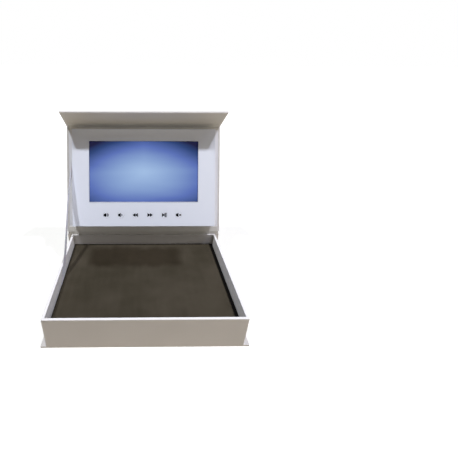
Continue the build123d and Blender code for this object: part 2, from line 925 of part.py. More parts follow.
def make_carrier():
    """Foam carrier behind the panel, with a pocket or channel for each thing it holds."""
    body = plate(well_width - 2 * fit_gap, well_height - 2 * fit_gap, (0, carrier_top))
    z = (carrier_floor, carrier_top)
    play = 2 * fit_gap
    body -= plate(board_width + play, board_height + play, z, board_x, board_rise)
    body -= plate(battery_width + play, battery_height + play, z, battery_x, board_rise)
    body -= disc(speaker_diameter + play, z, speaker_x, speaker_rise)
    body -= key_board_space(fit_gap)
    channel_y = (key_row_rise - cable_width, board_foot)
    half = cable_width / 2 + fit_gap
    body -= block((cable_x - half, cable_x + half), channel_y, (board_top, carrier_top))
    half = flex_width / 2 + fit_gap
    foot = view_rise - panel_height / 2 - 4 * flex_bend
    body -= block((flex_x - half, flex_x + half), (foot, board_foot), (board_top, carrier_top))
    usb_half = usb_width / 2 + fit_gap
    usb_y = (board_rise - usb_half, board_rise + usb_half)
    body -= block((board_x, housing_width), usb_y, z)
    battery_rise, _ = lead_rises()
    lead_z = (lead_level - lead_diameter, carrier_top)
    lead_y = (battery_rise - 2 * lead_pitch, battery_rise + 2 * lead_pitch)
    return body - block((battery_x, board_x), lead_y, lead_z) - speaker_lead_channel(lead_z)


def speaker_lead_channel(z):
    """Channel from the speaker to the main board."""
    y = (speaker_rise - 2 * lead_pitch, speaker_rise + 2 * lead_pitch)
    return block((speaker_x, board_x), y, z)


# ---------------------------------------------------------------- build

battery_rise, speaker_lead_rise = lead_rises()
chip_size = board_height / 4

tray_parts = {
    "base_board": make_base_board(),
    "spine_board": make_spine_board(),
    "base_wrap": make_base_wrap(),
    "tray_floor_board": make_tray_floor(),
    "tray_front_board": make_tray_long_wall(True),
    "tray_back_board": make_tray_long_wall(False),
    "tray_left_board": make_tray_side_wall(-1),
    "tray_right_board": make_tray_side_wall(1),
    "tray_corner_tapes": make_corner_tapes(),
    "tray_wrap": make_tray_wrap(),
    "tray_floor_liner": make_floor_liner(),
    "closing_plates": facing_discs(magnet_diameter, plate_y()),
    "pad_foam": make_pad_foam(),
    "pad_velvet_cover": make_pad_cover(),
    "trigger_magnet": trigger_pocket(0),
    "stay_ribbon": make_stay_ribbon(),
    "lid_hinge_paper": make_lid_hinge_paper(),
}

lid_parts = {
    "lid_board": open_lid(make_lid_board_shut()),
    "lid_wrap": open_lid(make_lid_wrap_shut()),
    "lid_liner": open_lid(lid_window()),
    "fold_hinge_paper": make_fold_hinge_paper(),
}

flap_parts = {
    "flap_board": open_flap(make_flap_board_shut()),
    "flap_wrap": open_flap(make_flap_wrap_shut()),
    "flap_liner": open_flap(flap_window()),
    "flap_magnets": open_flap(facing_discs(magnet_diameter, flap_magnet_y())),
}

housing_parts = {
    "housing_face_board": make_face_board(),
    "housing_face_wrap": make_face_wrap(),
    "housing_bottom_wall": make_housing_long_wall(-1),
    "housing_top_wall": make_housing_long_wall(1),
    "housing_left_wall": make_housing_side_wall(-1),
    "housing_right_wall": make_housing_side_wall(1),
    "panel_glass": make_panel_glass(),
    "panel_shell": make_panel_shell(),
    "panel_bezel": make_panel_bezel(),
    "panel_gasket": make_panel_gasket(),
    "panel_flex_cable": make_panel_flex(),
    "foam_carrier": make_carrier(),
    "main_board": make_main_board(),
    "processor_chip": board_chip(chip_size, chip_size, 0, chip_size / 3),
    "memory_chip": board_chip(chip_size * 1.2, chip_size * 0.8, board_width / 5, -board_height / 5),
    "lead_connectors": Compound(children=[make_lead_connector(rise) for rise in lead_rises()]),
    "flat_cable_sockets": Compound(children=[make_board_socket(x) for x in (flex_x, cable_x)]),
    "battery": make_battery(),
    "battery_leads": make_leads(battery_x + battery_width / 2, battery_rise, battery_rise),
    "speaker_frame": make_speaker_frame(),
    "speaker_cone": make_speaker_cone(),
    "speaker_leads": make_leads(speaker_x + speaker_diameter / 2, speaker_rise, speaker_lead_rise),
    "usb_shell": make_usb_shell(),
    "usb_tongue": make_usb_tongue(),
    "key_board": make_key_board(),
    "key_switches": make_key_switches(),
    "key_cable": make_key_cable(),
    "reed_switch": make_reed_switch(),
}

key_names = ["volume_up", "volume_down", "rewind", "forward", "play_pause", "mute"]
for key_name, key_x in zip(key_names, key_places()):
    housing_parts["key_" + key_name] = make_key(key_x)

for name, shape in {**tray_parts, **lid_parts, **flap_parts}.items():
    export_step(shape, "parts/" + name + ".step")
for name, shape in housing_parts.items():
    export_step(in_housing(shape), "parts/" + name + ".step")

print("hinge axis y z", round(hinge_y, 3), round(hinge_z, 3))
fold_at_rest = turned((fold_y, hinge_z), (hinge_y, hinge_z), -lid_open_angle)
print("fold axis y z at rest", round(fold_at_rest[0], 3), round(fold_at_rest[1], 3))
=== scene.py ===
"""Looks of an LCD video brochure: a paper-covered box with a screen in its lid.

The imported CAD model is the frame. New pieces are surfaces worked out from formulas, and every
piece and every carried CAD node gets a procedural material. Lengths are in metres.
"""

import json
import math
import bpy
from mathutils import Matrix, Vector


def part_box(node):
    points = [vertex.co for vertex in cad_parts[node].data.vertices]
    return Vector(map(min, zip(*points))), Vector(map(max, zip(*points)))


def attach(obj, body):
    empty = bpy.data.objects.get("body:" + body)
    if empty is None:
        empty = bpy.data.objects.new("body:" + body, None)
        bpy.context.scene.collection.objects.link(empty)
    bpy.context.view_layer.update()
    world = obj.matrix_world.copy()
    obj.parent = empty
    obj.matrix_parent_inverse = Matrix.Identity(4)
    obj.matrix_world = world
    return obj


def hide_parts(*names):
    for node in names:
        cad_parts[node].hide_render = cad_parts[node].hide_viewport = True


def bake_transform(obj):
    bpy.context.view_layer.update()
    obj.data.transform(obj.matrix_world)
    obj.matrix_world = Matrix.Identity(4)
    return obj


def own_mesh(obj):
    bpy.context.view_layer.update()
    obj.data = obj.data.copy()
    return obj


bl_info = {
    "name": "LCD Video Brochure",
    "version": (1, 0, 0),
    "blender": (4, 5, 0),
    "location": "View3D > Sidebar > Brochure",
    "description": "Papers, pad, ribbon, screen and key symbols of a presentation box",
    "category": "Object",
}

import bpy
import numpy as np
from bpy.props import FloatProperty, FloatVectorProperty, PointerProperty
from mathutils import Matrix, Vector

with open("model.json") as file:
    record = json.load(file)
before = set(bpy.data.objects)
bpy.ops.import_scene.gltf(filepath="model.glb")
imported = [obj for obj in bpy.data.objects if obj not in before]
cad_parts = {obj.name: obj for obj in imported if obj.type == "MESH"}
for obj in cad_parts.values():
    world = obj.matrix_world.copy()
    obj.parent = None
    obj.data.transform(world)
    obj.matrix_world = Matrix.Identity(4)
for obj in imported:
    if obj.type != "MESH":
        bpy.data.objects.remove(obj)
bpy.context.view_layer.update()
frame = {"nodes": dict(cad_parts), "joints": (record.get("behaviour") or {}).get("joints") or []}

MM = 0.001
JOINTS = {joint["name"]: joint for joint in frame["joints"]}
LID_AXIS = JOINTS["lid_hinge"]["pos_m"]
LID_LEAN = math.radians(180 - JOINTS["lid_hinge"]["range_deg"][1])
FOLD_AXIS = JOINTS["flap_fold"]["pos_m"]
FLAP_LEAN = LID_LEAN - math.radians(JOINTS["flap_fold"]["range_deg"][0])
LID = (LID_AXIS, LID_LEAN)
FLAP = (FOLD_AXIS, FLAP_LEAN)
KEYS = ("volume_up", "volume_down", "rewind", "forward", "play_pause", "mute")

RIM_CLEAR = 5 * MM
PAPER_THICKNESS = 0.16 * MM
CREASE_POWER = 6
INK_THICKNESS = 0.03 * MM

PAD_PITCH = 1.8 * MM
PAD_WAVE = 0.08 * MM
PAD_WAVE_FADE = 12 * MM
PAD_SIDE_ROWS = 6
CRUSHED_STEP = 0.5 * MM
CRUSHED_FADE = 1 * MM
# Painted shade: x and y spans of a soft darker area towards the back of the pad.
SHADED_AREA = ((-78 * MM, 52 * MM), (18 * MM, 62 * MM))
CLOTH_GRID = (19, 27)
CLOTH_MASS = 0.02
CLOTH_PRESSURE = 4.0
CLOTH_FRAMES = 20

RIBBON_THICKNESS = 0.28 * MM
RIBBON_CUP = 0.25 * MM
RIBBON_HELD = 0.14
RIBBON_ROOM = 0.5 * MM

LAMPS = {
    # name: power's setting, side, place, colour
    "left_lamp": ("left", 0.18, (-1.235, -0.22, 3.715), (0.90, 0.93, 1.0)),
    "right_lamp": ("right", 0.18, (1.538, -0.22, 3.715), (0.86, 0.88, 1.0)),
    "side_lamp": ("side", 0.2, (2.112, -0.542, 2.70), (0.90, 0.88, 1.0)),
    "front_fill": ("fill", 0.4, (0.50, -0.62, 0.35), (1.0, 0.94, 0.86)),
}
LAMP_TARGET = (0.0, 0.05, 0.10)
FLOOR_REACH = 6.0

PICTURE_SIDE = 458
FOCAL_PIXELS = 284.64
AXIS_PIXEL = (143.0, 189.33)
SENSOR_WIDTH = 36.0
CAMERA_PLACE = (-6.51 * MM, -276.70 * MM, 286.49 * MM)
CAMERA_YAW, CAMERA_DIP, CAMERA_ROLL = -0.85, 26.04, 0.34


# -------- places


def on_lid(x, along, out):
    """Points at x, a distance along the lid and a height out of it, both from its axis."""
    x, along, out = np.broadcast_arrays(x, along, out)
    y = LID_AXIS[1] + along * math.cos(LID_LEAN) - out * math.sin(LID_LEAN)
    z = LID_AXIS[2] + along * math.sin(LID_LEAN) + out * math.cos(LID_LEAN)
    return np.stack([x, y, z], axis=-1)


def node_points(name):
    """All vertices of a CAD node as an array."""
    mesh = frame["nodes"][name].data
    points = np.empty(len(mesh.vertices) * 3, np.float32)
    mesh.vertices.foreach_get("co", points)
    return points.reshape(-1, 3).astype(float)


def board_points(name, board=LID):
    """Vertices of a CAD node as (x, along, out) in a hinged board's own axes.

    The board leaves its axis at the lean angle above +Y. Out is a quarter turn further, on
    the inner side of the lid and of the flap.
    """
    axis, lean = board
    x, y, z = (node_points(name) - np.array(axis)).T
    along = y * math.cos(lean) + z * math.sin(lean)
    out = z * math.cos(lean) - y * math.sin(lean)
    return np.stack([x, along, out], axis=1)


def board_box(name, board=LID):
    """Lowest and highest (x, along, out) of a CAD node in a hinged board's own axes."""
    points = board_points(name, board)
    return points.min(axis=0), points.max(axis=0)


def level_box(name):
    """Lowest and highest corner of a CAD node as arrays."""
    low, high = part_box(name)
    return np.array(low), np.array(high)


# -------- surfaces


def add_mesh(name, points, polygons, uv=None, smooth=True):
    """New object from points and polygons, with one UV pair per point where given."""
    mesh = bpy.data.meshes.new(name)
    mesh.from_pydata(points.reshape(-1, 3).tolist(), [], polygons)
    if smooth:
        mesh.shade_smooth()
    if uv is not None:
        corner = np.empty(len(mesh.loops), np.int32)
        mesh.loops.foreach_get("vertex_index", corner)
        layer = mesh.uv_layers.new(name="UVMap")
        layer.data.foreach_set("uv", uv.reshape(-1, 2)[corner].astype(np.float32).ravel())
    mesh.validate()
    made = bpy.data.objects.new(name, mesh)
    bpy.context.scene.collection.objects.link(made)
    return made


def lattice(rows, columns, start=0):
    """Numbers of a lattice's points, row by row."""
    return start + np.arange(rows * columns).reshape(rows, columns)


def quads(index, wrap=False, close=False):
    """Quads between the neighbours in a lattice of point numbers.

    Wrap joins the last column to the first, and close joins the last row to the first.
    """
    if wrap:
        index = np.concatenate([index, index[:, :1]], axis=1)
    if close:
        index = np.concatenate([index, index[:1]])
    corners = [index[:-1, :-1], index[:-1, 1:], index[1:, 1:], index[1:, :-1]]
    return np.stack(corners, axis=-1).reshape(-1, 4).tolist()


def add_loft(name, sections, uv=None):
    """Closed body through a stack of closed sections, with a flat cap on both ends."""
    index = lattice(*sections.shape[:2])
    caps = [index[0][::-1].tolist(), index[-1].tolist()]
    return add_mesh(name, sections, quads(index, wrap=True) + caps, uv)


def flat_section(width, thickness, count=12, across_power=0.25, through_power=0.4):
    """Outline of a flat sheet's section: a stretched superellipse with rounded short ends.

    Each point is half the width times the cosine and half the thickness times the sine of
    its turn, both drawn out towards the rectangle by a power below one.
    """
    turn = np.linspace(0, 2 * math.pi, 4 * count, endpoint=False)
    across = np.sign(np.cos(turn)) * np.abs(np.cos(turn)) ** across_power * width / 2
    through = np.sign(np.sin(turn)) * np.abs(np.sin(turn)) ** through_power * thickness / 2
    return across, through


def rounded_outline(width, height, radius, per_corner=7):
    """Closed outline of a rounded rectangle, anticlockwise: four quarter arcs in a row."""
    quarter = np.linspace(0, math.pi / 2, per_corner)
    turn = (quarter[None, :] + np.arange(4)[:, None] * math.pi / 2).ravel()
    side_x = np.repeat([1, -1, -1, 1], per_corner) * (width / 2 - radius)
    side_y = np.repeat([1, 1, -1, -1], per_corner) * (height / 2 - radius)
    return side_x + radius * np.cos(turn), side_y + radius * np.sin(turn)


def smooth_step(value, low, high):
    """Rise from 0 at low to 1 at high with level ends."""
    t = np.clip((value - low) / (high - low), 0, 1)
    return t * t * (3 - 2 * t)


# -------- shader nodes


def rgba(colour):
    """Colour with full alpha."""
    return (*colour, 1.0)


def fill(node, values):
    """Fill a node's sockets by name or number, each with a plain value or with a link."""
    for socket, value in values.items():
        if isinstance(value, bpy.types.NodeSocket):
            node.id_data.links.new(value, node.inputs[socket])
        else:
            node.inputs[socket].default_value = value


def put(kind, values, **settings):
    """Add a shader node in the tree that its first linked value comes from, and fill it."""
    linked = (value for value in values.values() if isinstance(value, bpy.types.NodeSocket))
    made = next(linked).id_data.nodes.new("ShaderNode" + kind)
    for key, value in settings.items():
        setattr(made, key, value)
    fill(made, values)
    return made


def calc(operation, a, b=0.0, c=0.0, clamp=False):
    """Result of one Math node."""
    values = {0: a, 1: b, 2: c}
    return put("Math", values, operation=operation, use_clamp=clamp).outputs[0]


def vector_calc(operation, a, b):
    """Result of one Vector Math node."""
    return put("VectorMath", {0: a, 1: b}, operation=operation).outputs[0]


def weighted(a, a_weight, b, b_weight):
    """Sum of two values, each times its weight."""
    first = calc("MULTIPLY", a, a_weight)
    return calc("ADD", first, calc("MULTIPLY", b, b_weight))


def swing(value, amount):
    """What a value is over one half, times an amount."""
    return calc("MULTIPLY", calc("SUBTRACT", value, 0.5), amount)


def mix(factor, a, b, how="MIX"):
    """Colour between a and b."""
    values = {0: factor, 6: a, 7: b}
    return put("Mix", values, data_type="RGBA", blend_type=how).outputs[2]


def tinted(colour, tint):
    """A colour times a plain tint."""
    return mix(1.0, colour, rgba(tint), "MULTIPLY")


def map_range(value, low, high, to_low=0.0, to_high=1.0):
    """Smoothly remapped and clamped value."""
    values = {"Value": value, "From Min": low, "From Max": high}
    values |= {"To Min": to_low, "To Max": to_high}
    return put("MapRange", values, interpolation_type="SMOOTHSTEP").outputs["Result"]


def inside_mask(places, halves, before, past=0.0):
    """1 where both places are nearer to 0 than their halves, with a fade before and past them."""
    masks = [
        map_range(calc("ABSOLUTE", place), half - before, half + past, 1.0, 0.0)
        for place, half in zip(places, halves)
    ]
    return calc("MULTIPLY", *masks)


def scaled(vector, size, stretch=(1, 1, 1)):
    """Vector counted in multiples of a size, squeezed along chosen axes."""
    squeezed = vector_calc("MULTIPLY", vector, stretch)
    share = calc("DIVIDE", 1.0, size) if isinstance(size, bpy.types.NodeSocket) else 1.0 / size
    return put("VectorMath", {0: squeezed, "Scale": share}, operation="SCALE").outputs[0]


def noise(vector, size, detail=2.0, roughness=0.5, stretch=(1, 1, 1)):
    """Noise value about one half, with lumps of a size."""
    place = scaled(vector, size, stretch)
    values = {"Vector": place, "Scale": 1.0, "Detail": detail, "Roughness": roughness}
    return put("TexNoise", values).outputs["Fac"]


def parts_of(vector):
    """The three numbers of a vector."""
    return put("SeparateXYZ", {0: vector}).outputs


def object_vector(tree, board=None):
    """Object coordinates, in a hinged board's own axes where one is given."""
    vector = tree.nodes.new("ShaderNodeTexCoord").outputs["Object"]
    if board is None:
        return vector
    axis, lean = board
    values = {"Vector": vector, "Location": axis, "Rotation": (lean, 0, 0)}
    return put("Mapping", values, vector_type="TEXTURE").outputs[0]


# -------- shared patterns


def fibre_pattern(given):
    """Paper and board: long fine fibres, a broad cloudy tone and a roughness after both."""
    vector, colour = given["Vector"], given["Color"]
    fibres = noise(vector, given["Fibre Size"], 3.0, 0.6, (0.35, 1, 1))
    both = weighted(noise(vector, given["Cloud Size"]), 0.7, fibres, 0.3)
    depth = calc("MULTIPLY", both, given["Tone"])
    shade = mix(depth, colour, tinted(colour, (0.62, 0.61, 0.60)))
    return shade, map_range(both, 0.3, 0.7, 0.62, 0.76), fibres


def edge_pattern(given):
    """Mask along a box's edges: the middle one of the distances to its three nearest faces."""
    vector, width = given["Vector"], given["Width"]
    from_low = vector_calc("SUBTRACT", vector, given["Low"])
    from_high = vector_calc("SUBTRACT", given["High"], vector)
    x, y, z = parts_of(vector_calc("MINIMUM", from_low, from_high))
    capped = calc("MINIMUM", calc("MAXIMUM", x, y), z)
    middle = calc("MAXIMUM", calc("MINIMUM", x, y), capped)
    share = calc("DIVIDE", middle, width)
    broken = calc("MULTIPLY", noise(vector, width, 3.0), 0.9)
    return (map_range(calc("ADD", share, broken), 0.45, 1.3, 1.0, 0.0),)


def grain_pattern(given):
    """Moulded, cast or rolled grain: fine noise, stretched where asked, with soft smudges."""
    vector, colour = given["Vector"], given["Color"]
    grain = noise(vector, given["Grain Size"], 4.0, 0.6, given["Stretch"])
    smudge = noise(vector, 9 * MM)
    amount = calc("MULTIPLY", calc("ADD", grain, smudge), given["Tone"])
    shade = mix(amount, colour, tinted(colour, (0.5, 0.5, 0.5)))
    shine = calc("ADD", given["Shine"], swing(smudge, 0.35), clamp=True)
    return shade, shine, grain


def pile_pattern(given):
    """Velvet: tufts, and patches where the pile leans another way and looks lighter."""
    vector = given["Vector"]
    tufts = noise(vector, given["Pile Size"], 2.0, 0.7)
    brushed = noise(vector, 55 * MM, stretch=(1, 1.4, 1))
    streaks = noise(vector, 7 * MM, stretch=(1, 0.18, 1))
    lean = weighted(brushed, 0.8, streaks, 0.2)
    base = mix(map_range(lean, 0.30, 0.70), given["Color"], given["Second Color"])
    dark = tinted(base, (0.72, 0.70, 0.68))
    shade = mix(map_range(tufts, 0.35, 0.6), dark, base)
    return shade, map_range(lean, 0.3, 0.7, 0.78, 0.95), tufts


def weave_pattern(given):
    """Ribbon: ribs across the strip and finer threads along it, from a vector in metres."""
    vector, colour = given["Vector"], given["Color"]
    across, along = parts_of(vector)[:2]
    share = calc("DIVIDE", 2 * math.pi, given["Thread Size"])
    finer = calc("MULTIPLY", share, 1.6)
    ribs = calc("SINE", calc("MULTIPLY", along, share))
    threads = calc("SINE", calc("MULTIPLY", across, finer))
    level = calc("ADD", weighted(ribs, 0.35, threads, 0.15), 0.5, clamp=True)
    sheen = noise(vector, 6 * MM, stretch=(1, 0.3, 1))
    shade = mix(level, tinted(colour, (0.72, 0.72, 0.74)), colour)
    return shade, map_range(sheen, 0.3, 0.7, 0.28, 0.48), level


SOCKETS = {
    **dict.fromkeys(("Vector", "Low", "High", "Stretch"), "NodeSocketVector"),
    **dict.fromkeys(("Color", "Second Color"), "NodeSocketColor"),
}
SURFACE = ("Color", "Roughness", "Height")
PATTERNS = {
    # name: pattern, inputs after the vector, outputs
    "Paper Fibre": (fibre_pattern, ("Color", "Fibre Size", "Cloud Size", "Tone"), SURFACE),
    "Edge Wear": (edge_pattern, ("Low", "High", "Width"), ("Mask",)),
    "Fine Grain": (grain_pattern, ("Color", "Grain Size", "Stretch", "Tone", "Shine"), SURFACE),
    "Velvet Pile": (pile_pattern, ("Color", "Second Color", "Pile Size"), SURFACE),
    "Ribbon Weave": (weave_pattern, ("Color", "Thread Size"), SURFACE),
}
GROUPS = {}


def new_group(name):
    """Shader node group of a pattern; a socket is a number unless listed above."""
    pattern, inputs, outputs = PATTERNS[name]
    group = bpy.data.node_groups.new(name, "ShaderNodeTree")
    for in_out, sockets in (("INPUT", ("Vector", *inputs)), ("OUTPUT", outputs)):
        for socket in sockets:
            kind = SOCKETS.get(socket, "NodeSocketFloat")
            group.interface.new_socket(socket, in_out=in_out, socket_type=kind)
    results = pattern(group.nodes.new("NodeGroupInput").outputs)
    fill(group.nodes.new("NodeGroupOutput"), dict(zip(outputs, results)))
    return group


def put_group(name, vector, values):
    """Place a shared group, which is built the first time that it is asked for."""
    if name not in GROUPS:
        GROUPS[name] = new_group(name)
    made = vector.id_data.nodes.new("ShaderNodeGroup")
    made.node_tree = GROUPS[name]
    fill(made, {"Vector": vector, **values})
    return made.outputs


# -------- materials


def new_material(name):
    """Material with a Principled shader of its own; gives the material, tree and shader."""
    material = bpy.data.materials.new(name)
    material.use_nodes = True
    tree = material.node_tree
    return material, tree, tree.nodes["Principled BSDF"]


def set_surface(shader, colour, roughness, height, depth, **plain):
    """Join what changes over the surface to the shader, and set its even values on sockets."""
    bump = put("Bump", {"Height": height, "Distance": depth, "Strength": 1.0}).outputs[0]
    fill(shader, {"Base Color": colour, "Roughness": roughness, "Normal": bump})
    fill(shader, {socket.replace("_", " "): value for socket, value in plain.items()})


def dress(name, material):
    """Give a CAD node its material."""
    mesh = frame["nodes"][name].data
    mesh.materials.clear()
    mesh.materials.append(material)


def finish_piece(piece, material, body):
    """Material, slot and body of a new piece."""
    piece.data.materials.append(material)
    if body:
        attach(piece, body)
    return piece


def paper_material(
    name, colour, box=None, board=None, tone=0.12, film=0.12, fibre=0.5 * MM, cloud=38 * MM
):
    """Laminated paper, a little darker along the edges of the box that it wraps."""
    material, tree, shader = new_material(name)
    vector = object_vector(tree, board)
    values = {"Color": rgba(colour), "Fibre Size": fibre, "Cloud Size": cloud, "Tone": tone}
    shade, roughness, height = put_group("Paper Fibre", vector, values)
    if box is not None:
        values = {"Low": box[0], "High": box[1], "Width": 0.7 * MM}
        edge = put_group("Edge Wear", vector, values)["Mask"]
        worn = tinted(shade, (0.80, 0.78, 0.75))
        shade = mix(calc("MULTIPLY", edge, 0.6), shade, worn)
    plain = {"IOR": 1.48, "Coat_Weight": film, "Coat_Roughness": 0.5}
    set_surface(shader, shade, roughness, height, 0.012 * MM, **plain)
    return material


def grain_material(
    name, colour, roughness, size, tone=0.12, stretch=(1, 1, 1), depth=0.01 * MM, **plain
):
    """Plastic, rubber, foam, metal or film with a fine grain, whose size is in millimetres."""
    material, tree, shader = new_material(name)
    values = {"Color": rgba(colour), "Grain Size": size * MM, "Stretch": stretch}
    values |= {"Tone": tone, "Shine": roughness}
    surface = put_group("Fine Grain", object_vector(tree), values)
    set_surface(shader, *surface, depth, **plain)
    return material


def velvet_material(settings, low, high):
    """Dark velvet, with painted shade in a soft area towards the back and along the rim by the
    walls.
    """
    material, tree, shader = new_material("velvet_pile")
    vector = object_vector(tree)
    values = {"Color": rgba(settings.colour), "Second Color": rgba(settings.brushed_colour)}
    values["Pile Size"] = settings.pile_size
    shade, roughness, height = put_group("Velvet Pile", vector, values)
    # Painted shade: a soft darker area towards the back of the pad, with a wobbly edge.
    wobble = swing(noise(vector, 18 * MM), 12 * MM)
    parts = parts_of(vector)
    places, halves = [], []
    for part, (first, last) in zip(parts, SHADED_AREA):
        centred = calc("SUBTRACT", part, (first + last) / 2)
        places.append(calc("ADD", centred, wobble))
        halves.append((last - first) / 2)
    patch = inside_mask(places, halves, before=9 * MM, past=5 * MM)
    shade = mix(patch, shade, tinted(shade, (0.54, 0.50, 0.45)))
    # Painted shade: the rim turns near-black where the pad meets the tray's walls.
    rim = rim_shade_mask(parts, low, high, settings)
    shade = mix(rim, shade, rgba(settings.rim_shade_colour))
    set_surface(
        shader, shade, roughness, height, 0.25 * MM, Sheen_Weight=0.15,
        Sheen_Roughness=0.45, Sheen_Tint=(0.75, 0.70, 0.58, 1), Specular_IOR_Level=0.03,
    )
    return material


def rim_shade_mask(parts, low, high, settings, fade=0.4 * MM):
    """1 where the rim takes its painted shade: the largest of one mask per side, broad on the
    right.
    """
    sides = (
        (high[0], parts[0], settings.broad_rim),
        (parts[0], low[0], settings.rim),
        (high[1], parts[1], settings.rim),
        (parts[1], low[1], settings.rim),
    )
    rim = 0.0
    for outer, inner, width in sides:
        distance = calc("SUBTRACT", outer, inner)
        mask = map_range(distance, width - fade, width + fade, 1.0, 0.0)
        rim = calc("MAXIMUM", rim, mask)
    return rim


def ribbon_material(settings):
    """White ribbed ribbon; its UV map is in metres, across and along."""
    material, tree, shader = new_material("ribbon_weave")
    vector = tree.nodes.new("ShaderNodeTexCoord").outputs["UV"]
    values = {"Color": rgba(settings.colour), "Thread Size": settings.thread_size}
    set_surface(
        shader, *put_group("Ribbon Weave", vector, values), 0.08 * MM,
        Sheen_Weight=0.25, Subsurface_Weight=0.08, Subsurface_Scale=0.8 * MM,
    )
    return material


def screen_material(settings, middle):
    """Lit panel: a round glow that falls off to dark corners, inside the picture's edges."""
    halves = (settings.width / 2, settings.height / 2)
    material, tree, shader = new_material("screen_glow")
    centred = vector_calc("SUBTRACT", object_vector(tree, LID), tuple(middle))
    parts = parts_of(centred)
    inside = inside_mask(parts, halves, before=0.1 * MM)
    ripple = swing(noise(centred, 45 * MM, stretch=(0.4, 2.2, 1)), 0.16)
    distance = calc("ADD", glow_distance(parts, halves), ripple)
    ramp = put("ValToRGB", {0: distance})
    stops = (
        (0.0, settings.glow_colour),
        (0.3, settings.near_colour),
        (0.6, settings.middle_colour),
        (0.85, settings.far_colour),
        (1.0, settings.corner_colour),
    )
    for position, colour in stops[1:-1]:
        ramp.color_ramp.elements.new(position)
    for element, (position, colour) in zip(ramp.color_ramp.elements, stops):
        element.position = position
        element.color = rgba(colour)
    smudge = noise(centred, 14 * MM, 3.0)
    fill(shader, {
        "Emission Color": mix(inside, (0, 0, 0, 1), ramp.outputs[0]),
        "Emission Strength": settings.brightness,
        "Base Color": mix(smudge, (0.006, 0.006, 0.008, 1), (0.010, 0.010, 0.013, 1)),
        "Roughness": map_range(smudge, 0.3, 0.8, 0.05, 0.14),
        "Specular IOR Level": 0.08,
    })
    return material


def glow_distance(parts, halves):
    """How far a point is from the glow, which lies a little under the picture's middle.

    Across and up are shares of half the picture, raised to a power of 1.2 and weighted. In
    the lower half their root of squares is taken, and in the upper half it moves most of
    the way to their sum, so the upper corners are the darkest.
    """
    across = calc("DIVIDE", parts[0], halves[0])
    up = calc("ADD", calc("DIVIDE", parts[1], halves[1]), 0.05)
    powers = []
    for value, weight in ((across, 0.567), (up, 0.665)):
        grown = calc("POWER", calc("ABSOLUTE", value), 1.2)
        powers.append(calc("MULTIPLY", grown, weight))
    squares = [calc("MULTIPLY", value, value) for value in powers]
    root = calc("SQRT", calc("ADD", *squares))
    excess = calc("SUBTRACT", calc("ADD", *powers), root)
    upper = map_range(up, -0.25, 0.25, 0.0, 0.64)
    return calc("ADD", root, calc("MULTIPLY", excess, upper))


def circuit_material():
    """Solder mask over a field of straight copper tracks."""
    material, tree, shader = new_material("circuit_mask")
    vector = object_vector(tree, LID)
    across, along = parts_of(scaled(vector, 1.3 * MM))[:2]
    step = calc("FLOOR", calc("DIVIDE", along, 7.0))
    moved = calc("ADD", across, calc("MULTIPLY", step, 0.37))
    lane = calc("PINGPONG", moved, 0.5)
    track = calc("MINIMUM", lane, calc("PINGPONG", along, 3.5))
    mask = map_range(track, 0.12, 0.18, 1.0, 0.0)
    colour = mix(mask, (0.012, 0.085, 0.04, 1), (0.03, 0.16, 0.075, 1))
    values = {"Color": (1, 1, 1, 1), "Grain Size": 0.3 * MM, "Stretch": (1, 1, 1)}
    grain = put_group("Fine Grain", vector, values | {"Tone": 0.1, "Shine": 0.35})
    shade = mix(1.0, colour, grain["Color"], "MULTIPLY")
    set_surface(shader, shade, grain["Roughness"], mask, 0.03 * MM)
    return material


# -------- settings


def length_setting(name, description, default, most=None, least=0):
    """Setting for a length; its default and its limits are given in millimetres."""
    limits = {"min": least * MM} if most is None else {"min": least * MM, "max": most * MM}
    return FloatProperty(
        name=name, description=description, default=default * MM, unit="LENGTH", **limits
    )


def power_setting(name, description, default):
    """Setting for a lamp's power."""
    return FloatProperty(name=name, description=description, default=default, min=0, unit="POWER")


def colour_setting(name, description, default):
    """Setting for a colour."""
    return FloatVectorProperty(
        name=name, description=description, default=default, min=0, max=1, subtype="COLOR"
    )


class BrochurePaperSettings(bpy.types.PropertyGroup):
    """Colours of the papers."""

    cover: colour_setting("Cover", "Paper round the boards and the tray", (0.82, 0.795, 0.765))
    face: colour_setting("Face", "Printed paper round the screen", (0.87, 0.905, 0.985))
    lining: colour_setting("Lining", "Paper inside the lid", (0.95, 0.95, 0.98))
    # The liner is a darker, warmer copy of the lid's lining: painted shade for the flap's shaded
    # underside, and it also lines the tray's floor and the creases.
    liner: colour_setting("Liner", "Paper inside the flap and the tray", (0.77, 0.75, 0.70))


class BrochurePadSettings(bpy.types.PropertyGroup):
    """Shape and colours of the velvet pad."""

    spread: length_setting(
        "Spread", "How far the soft cover reaches past the foam, towards the tray's walls", 1.2, 1.4
    )
    rise: length_setting("Rise", "Height of the pile over the cover's plain level", 0.65, 0.8)
    crown: length_setting("Crown", "Rise of the pad's middle over its edges", 0.1, 0.5)
    swell: length_setting("Swell", "Furthest that the cover swells as cloth", 0.2, 1)
    side_pull: length_setting(
        "Side Pull", "How far the sides draw in between the corners", 0.2, 3
    )
    lip: length_setting("Lip", "Radius of the pad's soft upper edge", 1.1, 6, 0.5)
    # Painted shade along the pad's rim: widths of the near-black band, broad on the right where the
    # right wall shades the pad. The broad width also places the step in the pad's top.
    broad_rim: length_setting(
        "Broad Rim", "Width of the crushed pile along the right-hand side", 4.6, 20
    )
    rim: length_setting("Rim", "Width of the crushed pile along the other sides", 1.3, 20)
    pile_size: length_setting("Pile Size", "Width of one tuft", 0.35, 2, 0.1)
    colour: colour_setting("Colour", "Pile that leans away", (0.043, 0.036, 0.023))
    brushed_colour: colour_setting(
        "Brushed Colour", "Pile that leans to the light", (0.068, 0.057, 0.040)
    )
    # Painted shade: the near-black rim colour stands for the shade in the gap against the tray's
    # walls.
    rim_shade_colour: colour_setting(
        "Crushed Colour", "Pile crushed along the rim", (0.004, 0.003, 0.003)
    )


